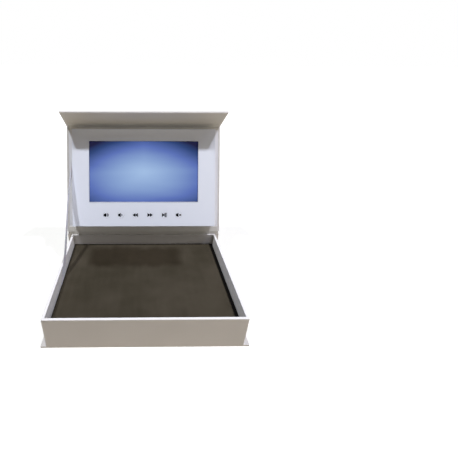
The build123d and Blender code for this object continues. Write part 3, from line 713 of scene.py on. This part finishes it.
class BrochureRibbonSettings(bpy.types.PropertyGroup):
    """Shape and colour of the stay ribbon."""

    slack: length_setting("Slack", "How far the ribbon bows outwards between its ends", 2, 3)
    twist: FloatProperty(
        name="Twist", description="Turn of the ribbon half way up", default=math.radians(5),
        min=0, max=math.radians(20), subtype="ANGLE",
    )
    thread_size: length_setting("Rib Pitch", "Distance between two ribs", 0.6, 3, 0.2)
    colour: colour_setting("Colour", "Thread colour", (0.84, 0.84, 0.87))


class BrochureScreenSettings(bpy.types.PropertyGroup):
    """Picture on the screen."""

    glow_colour: colour_setting("Glow", "Middle of the picture", (0.35, 0.505, 0.76))
    near_colour: colour_setting("Near Glow", "Round the glow", (0.222, 0.337, 0.61))
    middle_colour: colour_setting("Field", "Half way to the corners", (0.098, 0.160, 0.462))
    far_colour: colour_setting("Shade", "Close to the corners", (0.022, 0.052, 0.176))
    corner_colour: colour_setting("Corners", "Corners of the picture", (0.007, 0.007, 0.042))
    width: length_setting("Width", "Width of the picture", 154.08)
    height: length_setting("Height", "Height of the picture", 85.92)
    brightness: FloatProperty(
        name="Brightness", description="Strength of the picture's light", default=1.0, min=0,
        max=5,
    )


class BrochureSymbolSettings(bpy.types.PropertyGroup):
    """Printed symbols on the keys."""

    height: length_setting("Height", "Height of a symbol", 5.8, 8, 1)
    ink: colour_setting("Ink", "Colour of the print", (0.003, 0.003, 0.005))


class BrochureStageSettings(bpy.types.PropertyGroup):
    """Lights and floor."""

    left: power_setting("Left", "Power of the upper left lamp", 96.0)
    right: power_setting("Right", "Power of the upper right lamp", 98.0)
    side: power_setting("Side", "Power of the lamp far to the right", 9.0)
    fill: power_setting("Fill", "Power of the soft light in front", 0.75)
    ambient: FloatProperty(
        name="Ambient", description="Strength of the even light", default=0.01, min=0, max=2
    )
    floor: colour_setting("Floor", "Colour of the floor", (0.62, 0.61, 0.56))
    bounce: colour_setting(
        "Bounce", "Colour of the light that the floor throws back", (0.44, 0.375, 0.28)
    )


# -------- papers


class BROCHURE_OT_papers(bpy.types.Operator):
    """Dress the wrapped boards, the tray and the screen housing in their papers"""

    bl_idname = "brochure.papers"
    bl_label = "Papers"

    def execute(self, context):
        colours = context.scene.brochure_paper
        papers = (
            # node, material, colour, box with worn edges, hinged board
            ("tray_wrap", "tray_paper", colours.cover, level_box("tray_wrap"), None),
            ("base_wrap", "case_paper", colours.cover, level_box("base_wrap"), None),
            ("tray_floor_liner", "floor_paper", colours.liner, None, None),
            ("lid_wrap", "lid_paper", colours.cover, board_box("lid_wrap"), LID),
            ("lid_liner", "lid_lining", colours.lining, None, LID),
            ("flap_wrap", "flap_paper", colours.cover, board_box("flap_wrap", FLAP), FLAP),
            # The flap's inner paper takes the liner's darker colour, painted shade.
            ("flap_liner", "flap_lining", colours.liner, None, FLAP),
        )
        for node, *paper in papers:
            dress(node, paper_material(*paper))
        box = board_box("housing_face_wrap")
        face = paper_material("face_print", colours.face, box, LID, tone=0.05, film=0.25)
        for node in ("housing_face_wrap", *("key_" + key for key in KEYS)):
            dress(node, face)
        window_paper(face)
        return {"FINISHED"}


def window_paper(material):
    """Paper turned in round the picture window: an L-shaped section carried round its outline.

    Each point of the section has an inset from the board's edge and a level over the face.
    The outline at an inset is the window's rounded rectangle, smaller by it on every side.
    """
    x, along, out = board_points("housing_face_board").T
    key_top = max(board_box("key_" + key)[1][1] for key in KEYS)
    inner = np.abs(x) < x.max() - RIM_CLEAR
    inner &= (along > key_top + RIM_CLEAR / 2) & (along < along.max() - RIM_CLEAR)
    half = np.abs(x[inner]).max()
    low, high = along[inner].min(), along[inner].max()
    face = board_box("housing_face_wrap")[1][2]
    depth = out.max() - out.min()
    roll, sheet, flap, sunk, radius = 0.3 * MM, 0.15 * MM, 0.8 * MM, 0.1 * MM, 0.4 * MM
    flap_lift, roll_lift = 0.01 * MM, 0.03 * MM
    turn = np.linspace(0, math.pi / 2, 6)
    inset = np.concatenate([[-flap], sheet - roll + roll * np.sin(turn), [sheet, 0, 0, -flap]])
    bend = roll_lift - roll * (1 - np.cos(turn))
    level = np.concatenate([[flap_lift], bend, [-depth, -depth, -sunk, -sunk]])
    rings = [
        rounded_outline(2 * (half - d), high - low - 2 * d, radius + max(-d, 0)) for d in inset
    ]
    across = np.array([ring[0] for ring in rings])
    up = np.array([ring[1] for ring in rings]) + (low + high) / 2
    polygons = quads(lattice(*across.shape), wrap=True, close=True)
    piece = add_mesh("window_turn_in", on_lid(across, up, face + level[:, None]), polygons)
    return finish_piece(piece, material, "lid")


# -------- pad


class BROCHURE_OT_pad(bpy.types.Operator):
    """Build the velvet pad that fills the tray"""

    bl_idname = "brochure.pad"
    bl_label = "Velvet Pad"

    def execute(self, context):
        settings = context.scene.brochure_pad
        low, high = level_box("pad_velvet_cover")
        low[:2] -= (settings.spread - RIBBON_ROOM, settings.spread)
        high += (settings.spread, settings.spread, settings.rise)
        piece = pad_piece(settings, low, high)
        finish_piece(piece, velvet_material(settings, low, high), "case")
        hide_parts("pad_velvet_cover")
        return {"FINISHED"}


def pad_piece(settings, low, high):
    """Pad: the top's edge carried down in rings to a flat underside.

    A ring's points are the edge's, lowered by the ring's share of the depth and drawn in
    towards the middle by half a wave of that share plus a part of the share itself.
    """
    top = pad_top(settings, (high - low) / 2, high[2])
    rows, columns = top.shape[:2]
    index = lattice(rows, columns)
    ring = np.concatenate([index[0], index[1:, -1], index[-1, -2::-1], index[-2:0:-1, 0]])
    edge = top.reshape(-1, 3)[ring]
    share = np.linspace(0, 1, PAD_SIDE_ROWS + 1)[1:, None]
    tuck = 0.5 * MM * np.sin(share * math.pi) + 0.4 * MM * share
    shrink = 1 - tuck / np.abs(edge[:, :2]).max()
    side = np.empty((PAD_SIDE_ROWS, len(ring), 3))
    side[..., :2] = edge[None, :, :2] * shrink[..., None]
    side[..., 2] = edge[None, :, 2] + (low[2] - edge[None, :, 2]) * share
    points = np.concatenate([top.reshape(-1, 3), side.reshape(-1, 3)])
    points[:, :2] += (high + low)[:2] / 2
    down = np.concatenate([ring[None, :], lattice(PAD_SIDE_ROWS, len(ring), rows * columns)])
    polygons = quads(index) + quads(down.T, close=True) + [down[-1][::-1].tolist()]
    return add_mesh("velvet_pad", points, polygons)


def pad_top(settings, half, level):
    """Upper surface of the pad, as a grid of points about its middle.

    The height is the lip's quarter circle near the edge, plus the crown times
    (1 - s^4)(1 - t^4) with s and t as shares of the half sizes, plus a few slow waves, less
    a small step along the right-hand rim, plus the cover's swell as cloth.
    """
    lip = settings.lip
    edge = lip * (1 - np.cos(np.linspace(0, math.pi / 2, 7)))

    def steps(size):
        """Places of the grid's lines from -size to size, close together on the lip."""
        inner = np.linspace(-(size - lip), size - lip, int(2 * size / PAD_PITCH))
        return np.concatenate([-size + edge[:-1], inner, (size - edge[:-1])[::-1]])

    x, y = np.meshgrid(steps(half[0]), steps(half[1]))
    plan, near = pad_plan(x, y, half, lip, settings.side_pull)
    from_side = np.minimum(half[0] - np.abs(x), half[1] - np.abs(y))
    drop = lip * (1 - np.sqrt(np.clip(1 - near**2, 0, 1)))
    s, t = x / half[0], y / half[1]
    crown = settings.crown * (1 - s**4) * (1 - t**4)
    wave = np.sin(9 * s + 2 * t) + np.sin(5 * t - 3.1 * s + 1) + np.sin(13 * t + 7 * s)
    wave *= PAD_WAVE * smooth_step(from_side, 0, PAD_WAVE_FADE)
    rim_start = half[0] - settings.broad_rim
    crushed = CRUSHED_STEP * smooth_step(x, rim_start - CRUSHED_FADE, rim_start)
    height = level - drop + crown + wave - crushed
    height += cloth_lift(x[0], y[:, 0], half, settings.swell)
    return np.concatenate([plan, height[..., None]], axis=-1)


def pad_plan(x, y, half, radius, pull):
    """Plan of the pad, and how near each point is to its edge, from 0 inside to 1 at the edge.

    The corners are rounded by the square-to-disc mapping. A side is drawn in by the pull
    times a raised cosine along it, which fades with the eighth power towards the middle.
    """
    over_x = np.clip((np.abs(x) - half[0] + radius) / radius, 0, 1)
    over_y = np.clip((np.abs(y) - half[1] + radius) / radius, 0, 1)
    round_x = over_x * np.sqrt(1 - over_y**2 / 2)
    round_y = over_y * np.sqrt(1 - over_x**2 / 2)
    pull_x = pull * (0.5 + 0.5 * np.cos(math.pi * y / half[1])) * (x / half[0]) ** 8
    pull_y = pull * (0.5 + 0.5 * np.cos(math.pi * x / half[0])) * (y / half[1]) ** 8
    plan_x = np.sign(x) * (np.abs(x) + (round_x - over_x) * radius - pull_x)
    plan_y = np.sign(y) * (np.abs(y) + (round_y - over_y) * radius - pull_y)
    return np.stack([plan_x, plan_y], axis=-1), np.hypot(round_x, round_y)


def cloth_lift(x, y, half, most):
    """Lift of the cover on the grid of x and y, from a sheet simulated as cloth.

    The sheet is a level grid over the pad, held along its border and pressed up from below
    without gravity. Its rise is scaled down to the most that is allowed, and between the
    sheet's points it is read in proportion to the distances.
    """
    rows, columns = CLOTH_GRID
    sheet_x = np.linspace(-half[0], half[0], columns)
    sheet_y = np.linspace(-half[1], half[1], rows)
    rest = np.stack([*np.meshgrid(sheet_x, sheet_y), np.zeros(CLOTH_GRID)], axis=-1)
    index = lattice(rows, columns)
    sheet = add_mesh("cover_trial", rest, quads(index))
    border = np.concatenate([index[0], index[-1], index[1:-1, 0], index[1:-1, -1]])
    sheet.vertex_groups.new(name="held").add(border.tolist(), 1.0, "REPLACE")
    cloth = sheet.modifiers.new("swell", "CLOTH").settings
    cloth.vertex_group_mass = "held"
    cloth.mass = CLOTH_MASS
    cloth.use_pressure = True
    cloth.uniform_pressure_force = CLOTH_PRESSURE
    cloth.effector_weights.gravity = 0.0
    for frame_number in range(1, CLOTH_FRAMES + 1):
        bpy.context.scene.frame_set(frame_number)
    evaluated = sheet.evaluated_get(bpy.context.evaluated_depsgraph_get())
    moved = np.empty(rows * columns * 3, np.float32)
    evaluated.to_mesh().vertices.foreach_get("co", moved)
    evaluated.to_mesh_clear()
    bpy.data.objects.remove(sheet)
    bpy.context.scene.frame_set(1)
    lift = moved.reshape(rows, columns, 3)[..., 2].astype(float)
    lift *= min(1, most / max(lift.max(), 1e-9))
    wide = np.array([np.interp(x, sheet_x, row) for row in lift])
    return np.array([np.interp(y, sheet_y, column) for column in wide.T]).T


# -------- ribbon


class BROCHURE_OT_ribbon(bpy.types.Operator):
    """Build the ribbon that stays the lid"""

    bl_idname = "brochure.ribbon"
    bl_label = "Stay Ribbon"

    def execute(self, context):
        settings = context.scene.brochure_ribbon
        piece, length, foot, direction = ribbon_piece(settings, node_points("stay_ribbon"))
        finish_piece(piece, ribbon_material(settings), "case")
        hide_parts("stay_ribbon")
        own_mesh(piece)
        return {"FINISHED"}


def ribbon_piece(settings, points):
    """Ribbon: a cupped strip along the CAD strip's middle line, bowed away from the box.

    The middle line runs from foot to head. Past the held share of its length it bows
    outwards by the slack times a squared half wave, and twists by a half wave. Each section
    is a thin rounded bar whose middle stands proud of its selvedges by a small cup.
    """
    flat = points[:, 1:]
    axes = np.linalg.svd(flat - flat.mean(axis=0), full_matrices=False)[2]
    along = axes[0] * np.sign(axes[0][1])
    across = np.array([-along[1], along[0]])
    reach, side = flat @ along, flat @ across
    low, high = reach.min(), reach.max()
    middle = (side.min() + side.max()) / 2
    width = side.max() - side.min() - 0.1 * MM
    foot_x = points[reach < low + 1 * MM, 0].mean()
    head_x = points[reach > high - 1 * MM, 0].mean()
    share = np.linspace(0, 1, 90)[:, None]
    free = np.clip((share - RIBBON_HELD) / (1 - RIBBON_HELD), 0, 1)
    wave = np.sin(math.pi * free**1.4)
    lean = math.sin(settings.twist) * wave
    section_across, section_through = flat_section(width, RIBBON_THICKNESS)
    cup = RIBBON_CUP * (1 - (2 * section_across / width) ** 2)
    line = foot_x + (head_x - foot_x) * share - settings.slack * wave**2
    x = line + section_through + cup * wave + section_across * lean
    place = low + (high - low) * share
    offset = middle + section_across * np.sqrt(1 - lean**2)
    y = place * along[0] + offset * across[0]
    z = place * along[1] + offset * across[1]
    sections = np.stack(np.broadcast_arrays(x, y, z), axis=-1)
    uv = np.stack(np.broadcast_arrays(section_across + width / 2, place - low), axis=-1)
    piece = add_loft("stay_ribbon_cloth", sections, uv)
    foot = (foot_x, *(low * along + middle * across))
    return piece, high - low, foot, (0.0, *along)


# -------- crease papers


class BROCHURE_OT_creases(bpy.types.Operator):
    """Build the inner papers that bend at the lid's and the flap's crease"""

    bl_idname = "brochure.creases"
    bl_label = "Crease Papers"

    def execute(self, context):
        # The crease papers take the liner's darker colour, painted shade.
        paper = paper_material("crease_paper", context.scene.brochure_paper.liner)
        crease_piece("lid_crease_paper", "lid_hinge_paper", paper, LID_AXIS)
        crease_piece("fold_crease_paper", "fold_hinge_paper", paper, FOLD_AXIS)
        return {"FINISHED"}


def crease_piece(name, node, material, axis):
    """Paper along a crease: the CAD strip's two legs joined by a tight curve.

    The curve is the first leg's end times (1 - t) to the crease power, plus the second
    leg's end times t to that power, plus the crease times what is left of 1. It carries a
    thin rounded section.
    """
    points = node_points(node)
    flat = points[:, 1:]
    corner = flat[np.argmin(np.linalg.norm(flat - np.array(axis[1:]), axis=1))]
    ends = far_ends(flat, corner)
    t = np.linspace(0, 1, 25)[:, None]
    first, second = (1 - t) ** CREASE_POWER, t**CREASE_POWER
    line = first * ends[0] + (1 - first - second) * corner + second * ends[1]
    step = np.gradient(line, axis=0)
    normal = np.stack([-step[:, 1], step[:, 0]], axis=1)
    normal /= np.linalg.norm(step, axis=1)[:, None]
    across, through = flat_section(2 * points[:, 0].max(), PAPER_THICKNESS)
    y = line[:, :1] + normal[:, :1] * through
    z = line[:, 1:] + normal[:, 1:] * through
    piece = add_loft(name, np.stack(np.broadcast_arrays(across, y, z), axis=-1))
    finish_piece(piece, material, None)
    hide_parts(node)
    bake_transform(piece)
    return piece


def far_ends(flat, corner):
    """The middles of a bent strip's two ends, the one on the lower body first."""
    first = flat[np.argmax(np.linalg.norm(flat - corner, axis=1))]
    second = flat[np.argmax(np.linalg.norm(flat - first, axis=1))]
    ends = [
        flat[np.linalg.norm(flat - end, axis=1) < 0.3 * MM].mean(axis=0)
        for end in (first, second)
    ]
    return sorted(ends, key=lambda end: end[1])


# -------- screen and key symbols


class BROCHURE_OT_screen(bpy.types.Operator):
    """Light the panel's picture"""

    bl_idname = "brochure.screen"
    bl_label = "Screen"

    def execute(self, context):
        low, high = board_box("panel_glass")
        glow = screen_material(context.scene.brochure_screen, (low + high) / 2)
        dress("panel_glass", glow)
        return {"FINISHED"}


class BROCHURE_OT_symbols(bpy.types.Operator):
    """Print the symbols on the keys"""

    bl_idname = "brochure.symbols"
    bl_label = "Key Symbols"

    def execute(self, context):
        settings = context.scene.brochure_symbols
        further = {"tone": 0.2, "Specular_IOR_Level": 0.05}
        ink = grain_material("symbol_ink", settings.ink, 0.6, 0.2, **further)
        for key in KEYS:
            low, high = board_box("key_" + key)
            centre = (*(low + high)[:2] / 2, high[2])
            piece = symbol_piece(key, settings.height / 10, centre)
            finish_piece(piece, ink, key + "_key")
        return {"FINISHED"}


def wave_outline(radius, thick, mouth=-1.2, spread=0.85, steps=7):
    """Sound wave: the band between two arcs about the horn's mouth."""
    turn = np.linspace(-spread, spread, steps)
    outer, inner = (
        [(mouth + reach * math.cos(a), reach * math.sin(a)) for a in turn]
        for reach in (radius + thick, radius)
    )
    return outer + inner[::-1]


def symbol_outlines(key):
    """Closed outlines of one key's symbol, anticlockwise, in tenths of the symbol's height."""
    speaker = [(-7, -3), (-5, -3), (-0.4, -5.2), (-0.4, 5.2), (-5, 3), (-7, 3)]
    right = [(0, -4.8), (6.0, -1.1), (6.0, 1.1), (0, 4.8)]
    left = [(0, 4.8), (-6.0, 1.1), (-6.0, -1.1), (0, -4.8)]
    bar = [(0, -5.2), (2.2, -5.2), (2.2, 5.2), (0, 5.2)]
    rising = [(0.8, -1.4), (2.2, -2.8), (6.4, 1.4), (5.0, 2.8)]
    falling = [(0.8, 1.4), (5.0, -2.8), (6.4, -1.4), (2.2, 2.8)]

    def moved(outline, dx):
        """An outline moved sideways."""
        return [(x + dx, y) for x, y in outline]

    shapes = {
        "volume_up": [speaker, wave_outline(2.2, 1.6), wave_outline(4.6, 1.8)],
        "volume_down": [speaker, wave_outline(2.5, 2.0)],
        "rewind": [left, moved(left, 6.0)],
        "forward": [moved(right, -6.0), right],
        "play_pause": [moved(right, -5.8), moved(bar, 0.5), moved(bar, 3.2)],
        "mute": [speaker, rising, falling],
    }
    return shapes[key]


def symbol_piece(key, unit, centre):
    """Thin print on a key: each outline drawn on the cap and raised by the ink's thickness."""
    points, polygons, start = [], [], 0
    for outline in symbol_outlines(key):
        x, along = (np.array(outline, float) * unit + centre[:2]).T
        for out in (0.0, INK_THICKNESS):
            points.append(on_lid(x, along, centre[2] + out))
        index = lattice(2, len(outline), start)
        polygons += [index[0][::-1].tolist(), index[1].tolist()] + quads(index, wrap=True)
        start += index.size
    return add_mesh("symbol_" + key, np.concatenate(points), polygons, smooth=False)


# -------- inner parts


BOARD_NODES = (
    "base_board", "spine_board", "tray_floor_board", "tray_front_board", "tray_back_board",
    "tray_left_board", "tray_right_board", "lid_board", "flap_board", "housing_face_board",
    "housing_bottom_wall", "housing_top_wall", "housing_left_wall", "housing_right_wall",
)
CHIPS = ("processor_chip", "memory_chip", "flat_cable_sockets", "usb_tongue", "key_switches")
MOULDINGS = ("panel_shell", "lead_connectors", "key_cable")
FOAMS = ("pad_foam", "foam_carrier")
MAGNETS = ("trigger_magnet", "flap_magnets")
METAL = {"Metallic": 1.0}
FINISHES = {
    # name: nodes, colour, roughness, grain size in mm, further values
    "kraft_tape": (("tray_corner_tapes",), (0.42, 0.27, 0.14), 0.6, 0.6, {}),
    "foam_cells": (FOAMS, (0.05, 0.05, 0.055), 0.9, 0.5, {"depth": 0.12 * MM}),
    "gasket_foam": (("panel_gasket",), (0.02, 0.02, 0.02), 0.85, 0.3, {}),
    "nickel_plate": (MAGNETS, (0.62, 0.60, 0.56), 0.25, 0.2, METAL),
    "rolled_steel": (
        ("closing_plates",), (0.42, 0.42, 0.43), 0.38, 0.15, METAL | {"stretch": (0.05, 1, 1)}
    ),
    "plated_sheet": (
        ("panel_bezel", "usb_shell"), (0.58, 0.58, 0.58), 0.3, 0.12,
        METAL | {"stretch": (1, 0.08, 1)},
    ),
    "white_moulding": (MOULDINGS, (0.78, 0.78, 0.76), 0.45, 0.25, {}),
    "black_moulding": (CHIPS, (0.018, 0.018, 0.02), 0.42, 0.2, {"tone": 0.25}),
    "amber_film": (("panel_flex_cable",), (0.50, 0.21, 0.03), 0.3, 0.4, {"Coat_Weight": 0.3}),
    "red_insulation": (("battery_leads", "speaker_leads"), (0.45, 0.02, 0.015), 0.4, 0.3, {}),
    "foil_pouch": (
        ("battery",), (0.60, 0.61, 0.62), 0.34, 0.6, {"Metallic": 0.85, "depth": 0.06 * MM}
    ),
    "speaker_plate": (("speaker_frame",), (0.16, 0.16, 0.17), 0.4, 0.2, {"Metallic": 0.7}),
    "cone_fibre": (("speaker_cone",), (0.03, 0.03, 0.03), 0.8, 0.4, {"depth": 0.05 * MM}),
    "reed_glass": (
        ("reed_switch",), (0.30, 0.42, 0.36), 0.1, 0.5, {"Transmission_Weight": 0.7}
    ),
}


class BROCHURE_OT_inner(bpy.types.Operator):
    """Dress the boards, the electronics and the fittings inside the box"""

    bl_idname = "brochure.inner"
    bl_label = "Inner Parts"

    def execute(self, context):
        board = paper_material(
            "grey_board_fibre", (0.30, 0.285, 0.26), tone=0.5, film=0.0, fibre=0.8 * MM
        )
        dressings = [(BOARD_NODES, board)]
        for name, (nodes, *values, further) in FINISHES.items():
            dressings.append((nodes, grain_material(name, *values, **further)))
        dressings.append((("main_board", "key_board"), circuit_material()))
        for nodes, material in dressings:
            for node in nodes:
                dress(node, material)
        return {"FINISHED"}


# -------- stage


class BROCHURE_OT_stage(bpy.types.Operator):
    """Set up the floor, the soft lights and the camera"""

    bl_idname = "brochure.stage"
    bl_label = "Stage"

    def execute(self, context):
        settings = context.scene.brochure_stage
        context.scene.view_settings.view_transform = "Standard"
        floor_piece(settings.floor, settings.bounce)
        set_world(context.scene, settings.ambient)
        for name, (setting, side, place, colour) in LAMPS.items():
            add_lamp(name, getattr(settings, setting), side, place, colour)
        add_camera(context.scene)
        return {"FINISHED"}


def floor_piece(colour, bounce):
    """Flat floor that looks white to the camera and keeps the object's shadow.

    Away from the object its own light grows, so that it stays as white as the world behind.
    """
    corners = np.array([[-1, -1, 0], [1, -1, 0], [1, 1, 0], [-1, 1, 0]])
    floor = add_mesh("floor", FLOOR_REACH * corners, [[0, 1, 2, 3]], smooth=False)
    material, tree, shader = new_material("pale_floor")
    vector = object_vector(tree)
    seen = background_rays(tree)
    paint = mix(seen, rgba(bounce), rgba(colour))
    cloud = noise(vector, 0.4)
    distance = put("VectorMath", {0: vector}, operation="LENGTH").outputs["Value"]
    fill(shader, {
        "Base Color": mix(cloud, paint, (0.95, 0.95, 0.95, 1), "MULTIPLY"),
        "Roughness": 0.9,
        "Specular IOR Level": 0.1,
        "Emission Color": mix(seen, (0, 0, 0, 1), (1, 1, 1, 1)),
        "Emission Strength": map_range(distance, 0.25, 1.1, 0.6, 1.0),
    })
    floor.data.materials.append(material)


def background_rays(tree):
    """1 for camera, glossy and transmission rays, 0 for the rays that light the object."""
    rays = tree.nodes.new("ShaderNodeLightPath").outputs
    either = calc("MAXIMUM", rays["Is Camera Ray"], rays["Is Glossy Ray"])
    return calc("MAXIMUM", either, rays["Is Transmission Ray"])


def set_world(scene, strength):
    """Even pale light, and plain white behind the object."""
    world = bpy.data.worlds.new("studio")
    world.use_nodes = True
    tree = world.node_tree
    seen = background_rays(tree)
    fill(tree.nodes["Background"], {
        "Color": mix(seen, (1.0, 0.95, 0.88, 1), (1, 1, 1, 1)),
        "Strength": calc("MULTIPLY_ADD", seen, 1.0 - strength, strength),
    })
    scene.world = world


def add_lamp(name, power, side, place, colour):
    """Square soft lamp that points at the object's middle."""
    data = bpy.data.lights.new(name, "AREA")
    data.shape = "SQUARE"
    data.size = side
    data.energy = power
    data.color = colour
    lamp = bpy.data.objects.new(name, data)
    bpy.context.scene.collection.objects.link(lamp)
    lamp.location = place
    direction = lamp.location - Vector(LAMP_TARGET)
    lamp.rotation_euler = direction.to_track_quat("Z", "Y").to_euler()


def add_camera(scene):
    """Camera above the box's front, looking down at it, with the box left of the middle."""
    data = bpy.data.cameras.new("camera")
    data.sensor_width = SENSOR_WIDTH
    data.lens = SENSOR_WIDTH * FOCAL_PIXELS / PICTURE_SIDE
    data.shift_x = (PICTURE_SIDE / 2 - AXIS_PIXEL[0]) / PICTURE_SIDE
    data.shift_y = (AXIS_PIXEL[1] - PICTURE_SIDE / 2) / PICTURE_SIDE
    data.clip_start = 0.01
    camera = bpy.data.objects.new("camera", data)
    scene.collection.objects.link(camera)
    turned = Matrix.Translation(CAMERA_PLACE)
    for angle, axis in ((CAMERA_YAW, "Z"), (90 - CAMERA_DIP, "X"), (CAMERA_ROLL, "Z")):
        turned = turned @ Matrix.Rotation(math.radians(angle), 4, axis)
    camera.matrix_world = turned
    scene.camera = camera


# -------- add-on


STEPS = (
    # settings' pointer, settings, operator
    ("brochure_stage", BrochureStageSettings, BROCHURE_OT_stage),
    ("brochure_paper", BrochurePaperSettings, BROCHURE_OT_papers),
    ("brochure_pad", BrochurePadSettings, BROCHURE_OT_pad),
    ("brochure_ribbon", BrochureRibbonSettings, BROCHURE_OT_ribbon),
    (None, None, BROCHURE_OT_creases),
    ("brochure_screen", BrochureScreenSettings, BROCHURE_OT_screen),
    ("brochure_symbols", BrochureSymbolSettings, BROCHURE_OT_symbols),
    (None, None, BROCHURE_OT_inner),
)


class BROCHURE_PT_panel(bpy.types.Panel):
    """Settings and steps of the brochure's looks"""

    bl_idname = "BROCHURE_PT_panel"
    bl_label = "Video Brochure"
    bl_space_type = "VIEW_3D"
    bl_region_type = "UI"
    bl_category = "Brochure"

    def draw(self, context):
        for pointer, kind, operator in STEPS:
            box = self.layout.box()
            if pointer:
                for key in kind.__annotations__:
                    box.prop(getattr(context.scene, pointer), key)
            box.operator(operator.bl_idname)


def register():
    """Register the classes and hang the settings on the scene."""
    for pointer, kind, operator in STEPS:
        bpy.utils.register_class(operator)
        if pointer:
            bpy.utils.register_class(kind)
            setattr(bpy.types.Scene, pointer, PointerProperty(type=kind))
    bpy.utils.register_class(BROCHURE_PT_panel)


def unregister():
    """Take the settings and the classes away again."""
    bpy.utils.unregister_class(BROCHURE_PT_panel)
    for pointer, kind, operator in reversed(STEPS):
        if pointer:
            delattr(bpy.types.Scene, pointer)
            bpy.utils.unregister_class(kind)
        bpy.utils.unregister_class(operator)


def main():
    """Run every step in order."""
    register()
    bpy.ops.brochure.stage()
    bpy.ops.brochure.papers()
    bpy.ops.brochure.pad()
    bpy.ops.brochure.ribbon()
    bpy.ops.brochure.creases()
    bpy.ops.brochure.screen()
    bpy.ops.brochure.symbols()
    bpy.ops.brochure.inner()


if __name__ == "__main__":
    main()
